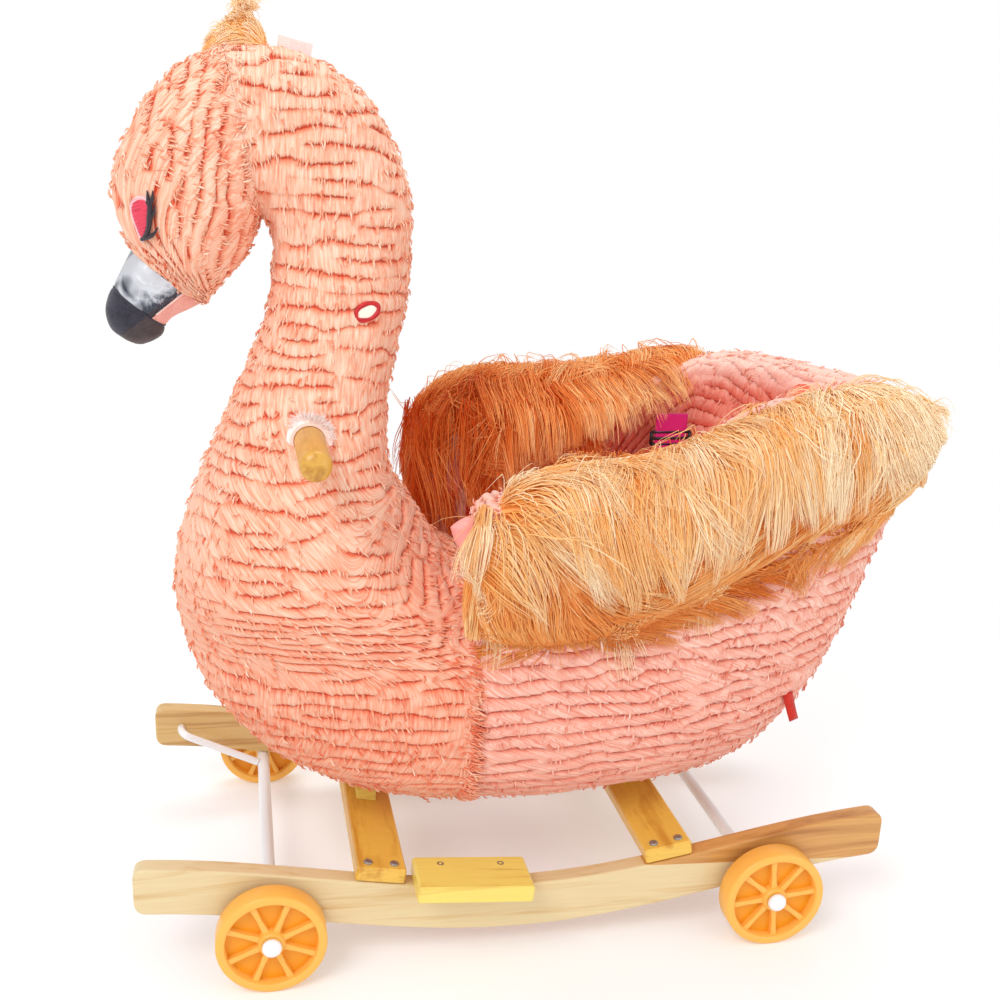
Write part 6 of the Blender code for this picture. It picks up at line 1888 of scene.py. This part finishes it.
def make_handle():
    profile = [(0.0, -HANDLE_HALF_LENGTH)]
    for k in range(1, 9):
        angle = math.pi / 2 * k / 8
        profile.append((HANDLE_RADIUS * math.sin(angle) ** 0.8,
                        -HANDLE_HALF_LENGTH + 0.0075 * (1 - math.cos(angle))))
    profile += [(radius, -y) for radius, y in reversed(profile)]
    piece = show("handle_wood", turned_mesh("handle_wood", profile, 56, HANDLE), handle_wood)
    belongs(piece, "gold_wood", "handle_bar")
    for number, (side, sign) in enumerate(SIDES):
        hole = HANDLE_RADIUS + 0.0006
        ring = [(hole, 0.0), (0.0180, 0.0), (0.0192, 0.0030), (0.0182, 0.0064), (0.0158, 0.0080),
                (hole, 0.0072)]
        base = turned_mesh("collar", [(r, sign * (COLLAR_Y + y)) for r, y in ring], 48, HANDLE)
        base = show("collar_lining_" + side, base, lining_fur)
        set_values(base.data, tone=np.full(len(base.data.vertices), 0.55))
        belongs(base, "white_lining", "handle_collar_" + side)
        # a small tuft of pale lining pokes out above the bar
        draw = np.random.default_rng(95 + number)
        count = 420
        turn = math.pi * 0.36 + draw.normal(0, 0.55, count)
        radius = draw.uniform(0.0128, 0.0180, count)
        y = sign * draw.uniform(COLLAR_Y + 0.002, COLLAR_Y + 0.007, count)
        roots = np.stack([HANDLE.x + radius * np.cos(turn), y, HANDLE.z + radius * np.sin(turn)], -1)
        out = np.stack([np.cos(turn) * 0.6, np.full(count, sign * 0.75), np.sin(turn) * 0.6], -1)
        length = draw.uniform(0.006, 0.012, count)
        paths, _, _ = fur_paths(roots, out, out * 0.2, length, draw, 30, steps=4, droop=0.3, lock=0.5)
        share, thick = tapered(draw, paths, 0.7, 1, (0.6, 1.3))
        tone = np.clip(0.45 + 0.5 * share[None] + draw.normal(0, 0.12, count)[:, None], 0, 1)
        tuft = sweep_strands("handle_tuft_" + side, paths, thick, tone, LINING_STRAND, lining_fur)
        belongs(tuft, "white_lining")


# Belt

def strap_piece(name, path, finish):
    """Webbing along (y, z) points, with its weave mapped in metres."""
    path = smooth_path(path, 10)
    way = np.gradient(path, axis=0)
    way /= np.linalg.norm(way, axis=1, keepdims=True)
    normal = np.stack([-way[:, 1], way[:, 0]], -1)
    half, thin = 0.016, 0.0008
    rings = []
    for (y, z), (ny, nz) in zip(path, normal):
        ring = []
        for a, b in ((-1, -0.6), (-0.97, -1), (-0.5, -1), (0, -1), (0.5, -1), (0.97, -1), (1, -0.6),
                     (1, 0.6), (0.97, 1), (0.5, 1), (0, 1), (-0.5, 1), (-0.97, 1), (-1, 0.6)):
            ring.append((STRAP_X + a * half, y + ny * thin * b, z + nz * thin * b))
        rings.append(ring)
    rings = np.array(rings)
    length = np.concatenate([[0], np.cumsum(np.linalg.norm(np.diff(path, axis=0), axis=1))])
    return show(name, grid_mesh(name, rings, length), finish)


def make_belt():
    bend = 0.020
    for side, sign in SIDES:
        path = [(sign * STRAP_Y, 0.424), (sign * (STRAP_Y - 0.0006), 0.385), (sign * STRAP_Y, 0.340),
                (sign * STRAP_Y, BUCKLE_Z + bend)]
        for k in range(1, 5):
            angle = math.pi / 2 * k / 4
            path.append((sign * (STRAP_Y - bend * (1 - math.cos(angle))),
                         BUCKLE_Z + bend * (1 - math.sin(angle))))
        path.append((sign * 0.0200, BUCKLE_Z))
        strap = strap_piece("strap_" + side, path, magenta_webbing)
        belongs(strap, "magenta_webbing", "belt_" + side)
    wide, tall = 0.0195, 0.0060
    corners = [(STRAP_X + x, STRAP_Y, SLIDER_Z + z)
               for x, z in ((-wide, -tall), (wide, -tall), (wide, tall), (-wide, tall))]
    lines = [(one, two, 0.0017) for one, two in zip(corners, corners[1:] + corners[:1])]
    middle = STRAP_Y - 0.0012
    lines.append(((STRAP_X - wide, middle, SLIDER_Z), (STRAP_X + wide, middle, SLIDER_Z), 0.0014))
    bars = [grid_mesh("bar", tube_rows([one, two], radius, 10)) for one, two, radius in lines]
    glide = show("tri_glide", join_meshes("tri_glide", bars), black_plastic)
    belongs(glide, "black_plastic", "belt_slider", body="slider")


# Solids of the frame that are shown as they are

def paint_frame():
    arms = ["%s_arm_%s" % (end, side) for end, _ in ENDS for side, _ in SIDES]
    for finish, nodes in (
        (cross_wood, ("front_cross_bar", "rear_cross_bar")),
        (golden_wood, ("front_batten", "rear_batten", "footrest_left", "footrest_right")),
        (inner_ply, ("base_board", "front_pedestal", "rear_pedestal", "seat_board", "side_board_left",
                     "side_board_right", "back_board", "neck_board")),
        (white_cap, ("sound_box",)),
        (label_cloth, ("head_label",)),
        (black_plastic, ("buckle_body", "buckle_tongue")),
        (white_paint, ["front_axle", "rear_axle"] + arms),
    ):
        for node in nodes:
            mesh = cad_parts[node].data
            mesh.materials.clear()
            mesh.materials.append(finish)


def make_studio():
    size = 6.0
    mesh = bpy.data.meshes.new("floor")
    corners = [(-size, -size, 0), (size, -size, 0), (size, size, 0), (-size, size, 0)]
    mesh.from_pydata(corners, [], [(0, 1, 2, 3)])
    f = Finish("floor paint")
    reach = f.node("ShaderNodeVectorMath", {"operation": "LENGTH"}, Vector=f.place()).outputs["Value"]
    far = f.ramp(f.math("MULTIPLY", reach, 0.5), (0.24, (0, 0, 0)), (0.52, (1, 1, 1)))
    paint = f.surface(Base_Color=f.mix(far, (0.80, 0.80, 0.80), (0.0, 0.0, 0.0)), Roughness=0.9,
                      Specular_IOR_Level=0.0, Emission_Color=(1.0, 1.0, 1.0),
                      Emission_Strength=f.math("MULTIPLY_ADD", far, 0.78, 0.22))
    floor = show("floor", mesh, paint)
    floor.location.z = -0.0002
    world = bpy.data.worlds.new("studio")
    world.use_nodes = True
    nodes, links = world.node_tree.nodes, world.node_tree.links
    seen = nodes.new("ShaderNodeLightPath")
    blend = nodes.new("ShaderNodeMixShader")
    backdrop = nodes.new("ShaderNodeBackground")
    backdrop.inputs["Strength"].default_value = 1.0
    nodes["Background"].inputs["Color"].default_value = (1.0, 1.0, 1.0, 1.0)
    nodes["Background"].inputs["Strength"].default_value = 0.72
    backdrop.inputs["Color"].default_value = (1.0, 1.0, 1.0, 1.0)
    links.new(seen.outputs["Is Camera Ray"], blend.inputs[0])
    links.new(nodes["Background"].outputs[0], blend.inputs[1])
    links.new(backdrop.outputs[0], blend.inputs[2])
    links.new(blend.outputs[0], nodes["World Output"].inputs["Surface"])
    bpy.context.scene.world = world
    for name, place, size, power in (("key light", (-1.5, -1.7, 2.3), 1.4, 37.0),
                                     ("fill light", (1.8, -1.8, 1.1), 1.6, 12.0),
                                     ("top light", (0.2, 0.8, 2.6), 1.6, 19.0)):
        light = bpy.data.lights.new(name, "AREA")
        light.size = size
        light.energy = power
        lamp = bpy.data.objects.new(name, light)
        lamp.location = place
        lamp.rotation_euler = (Vector((0.0, 0.0, 0.35)) - Vector(place)).to_track_quat("-Z", "Y").to_euler()
        bpy.context.scene.collection.objects.link(lamp)
    bpy.context.scene.view_settings.view_transform = "Standard"


def make_camera():
    forward = Vector((math.sin(CAMERA_YAW) * math.cos(CAMERA_PITCH),
                      math.cos(CAMERA_YAW) * math.cos(CAMERA_PITCH), -math.sin(CAMERA_PITCH)))
    level = Vector((math.cos(CAMERA_YAW), -math.sin(CAMERA_YAW), 0.0))
    upright = level.cross(forward)
    right = level * math.cos(CAMERA_ROLL) + upright * math.sin(CAMERA_ROLL)
    up = -level * math.sin(CAMERA_ROLL) + upright * math.cos(CAMERA_ROLL)
    camera = bpy.data.objects.new("camera", bpy.data.cameras.new("camera"))
    bpy.context.scene.collection.objects.link(camera)
    matrix = Matrix((right, up, -forward)).transposed().to_4x4()
    matrix.translation = CAMERA_PLACE
    camera.matrix_world = matrix
    camera.data.sensor_width = 36
    camera.data.lens = FOCAL_PIXELS * 36 / 1000
    camera.data.shift_x = -(CENTRE_PIXEL[0] - 500) / 1000
    camera.data.shift_y = (CENTRE_PIXEL[1] - 500) / 1000
    bpy.context.scene.camera = camera


paint_frame()
make_body_skin()
make_head_skin()
make_tub_skin()
pad_skin("seat_cushion", rose_plush, (1.0, 0.0, 0.15), 101)
pad_skin("side_pad_left", rose_plush, (0.0, 0.0, 1.0), 102)
pad_skin("side_pad_right", rose_plush, (0.0, 0.0, 1.0), 103)
pad_skin("back_pad", rose_plush, (0.0, 0.0, 1.0), 104)
make_wings()
make_arm_rolls()
make_crest()
make_beak()
make_eyes()
make_press_patch()
make_side_tag()
make_runners()
make_screws()
make_wheels()
make_handle()
make_belt()
make_studio()
make_camera()
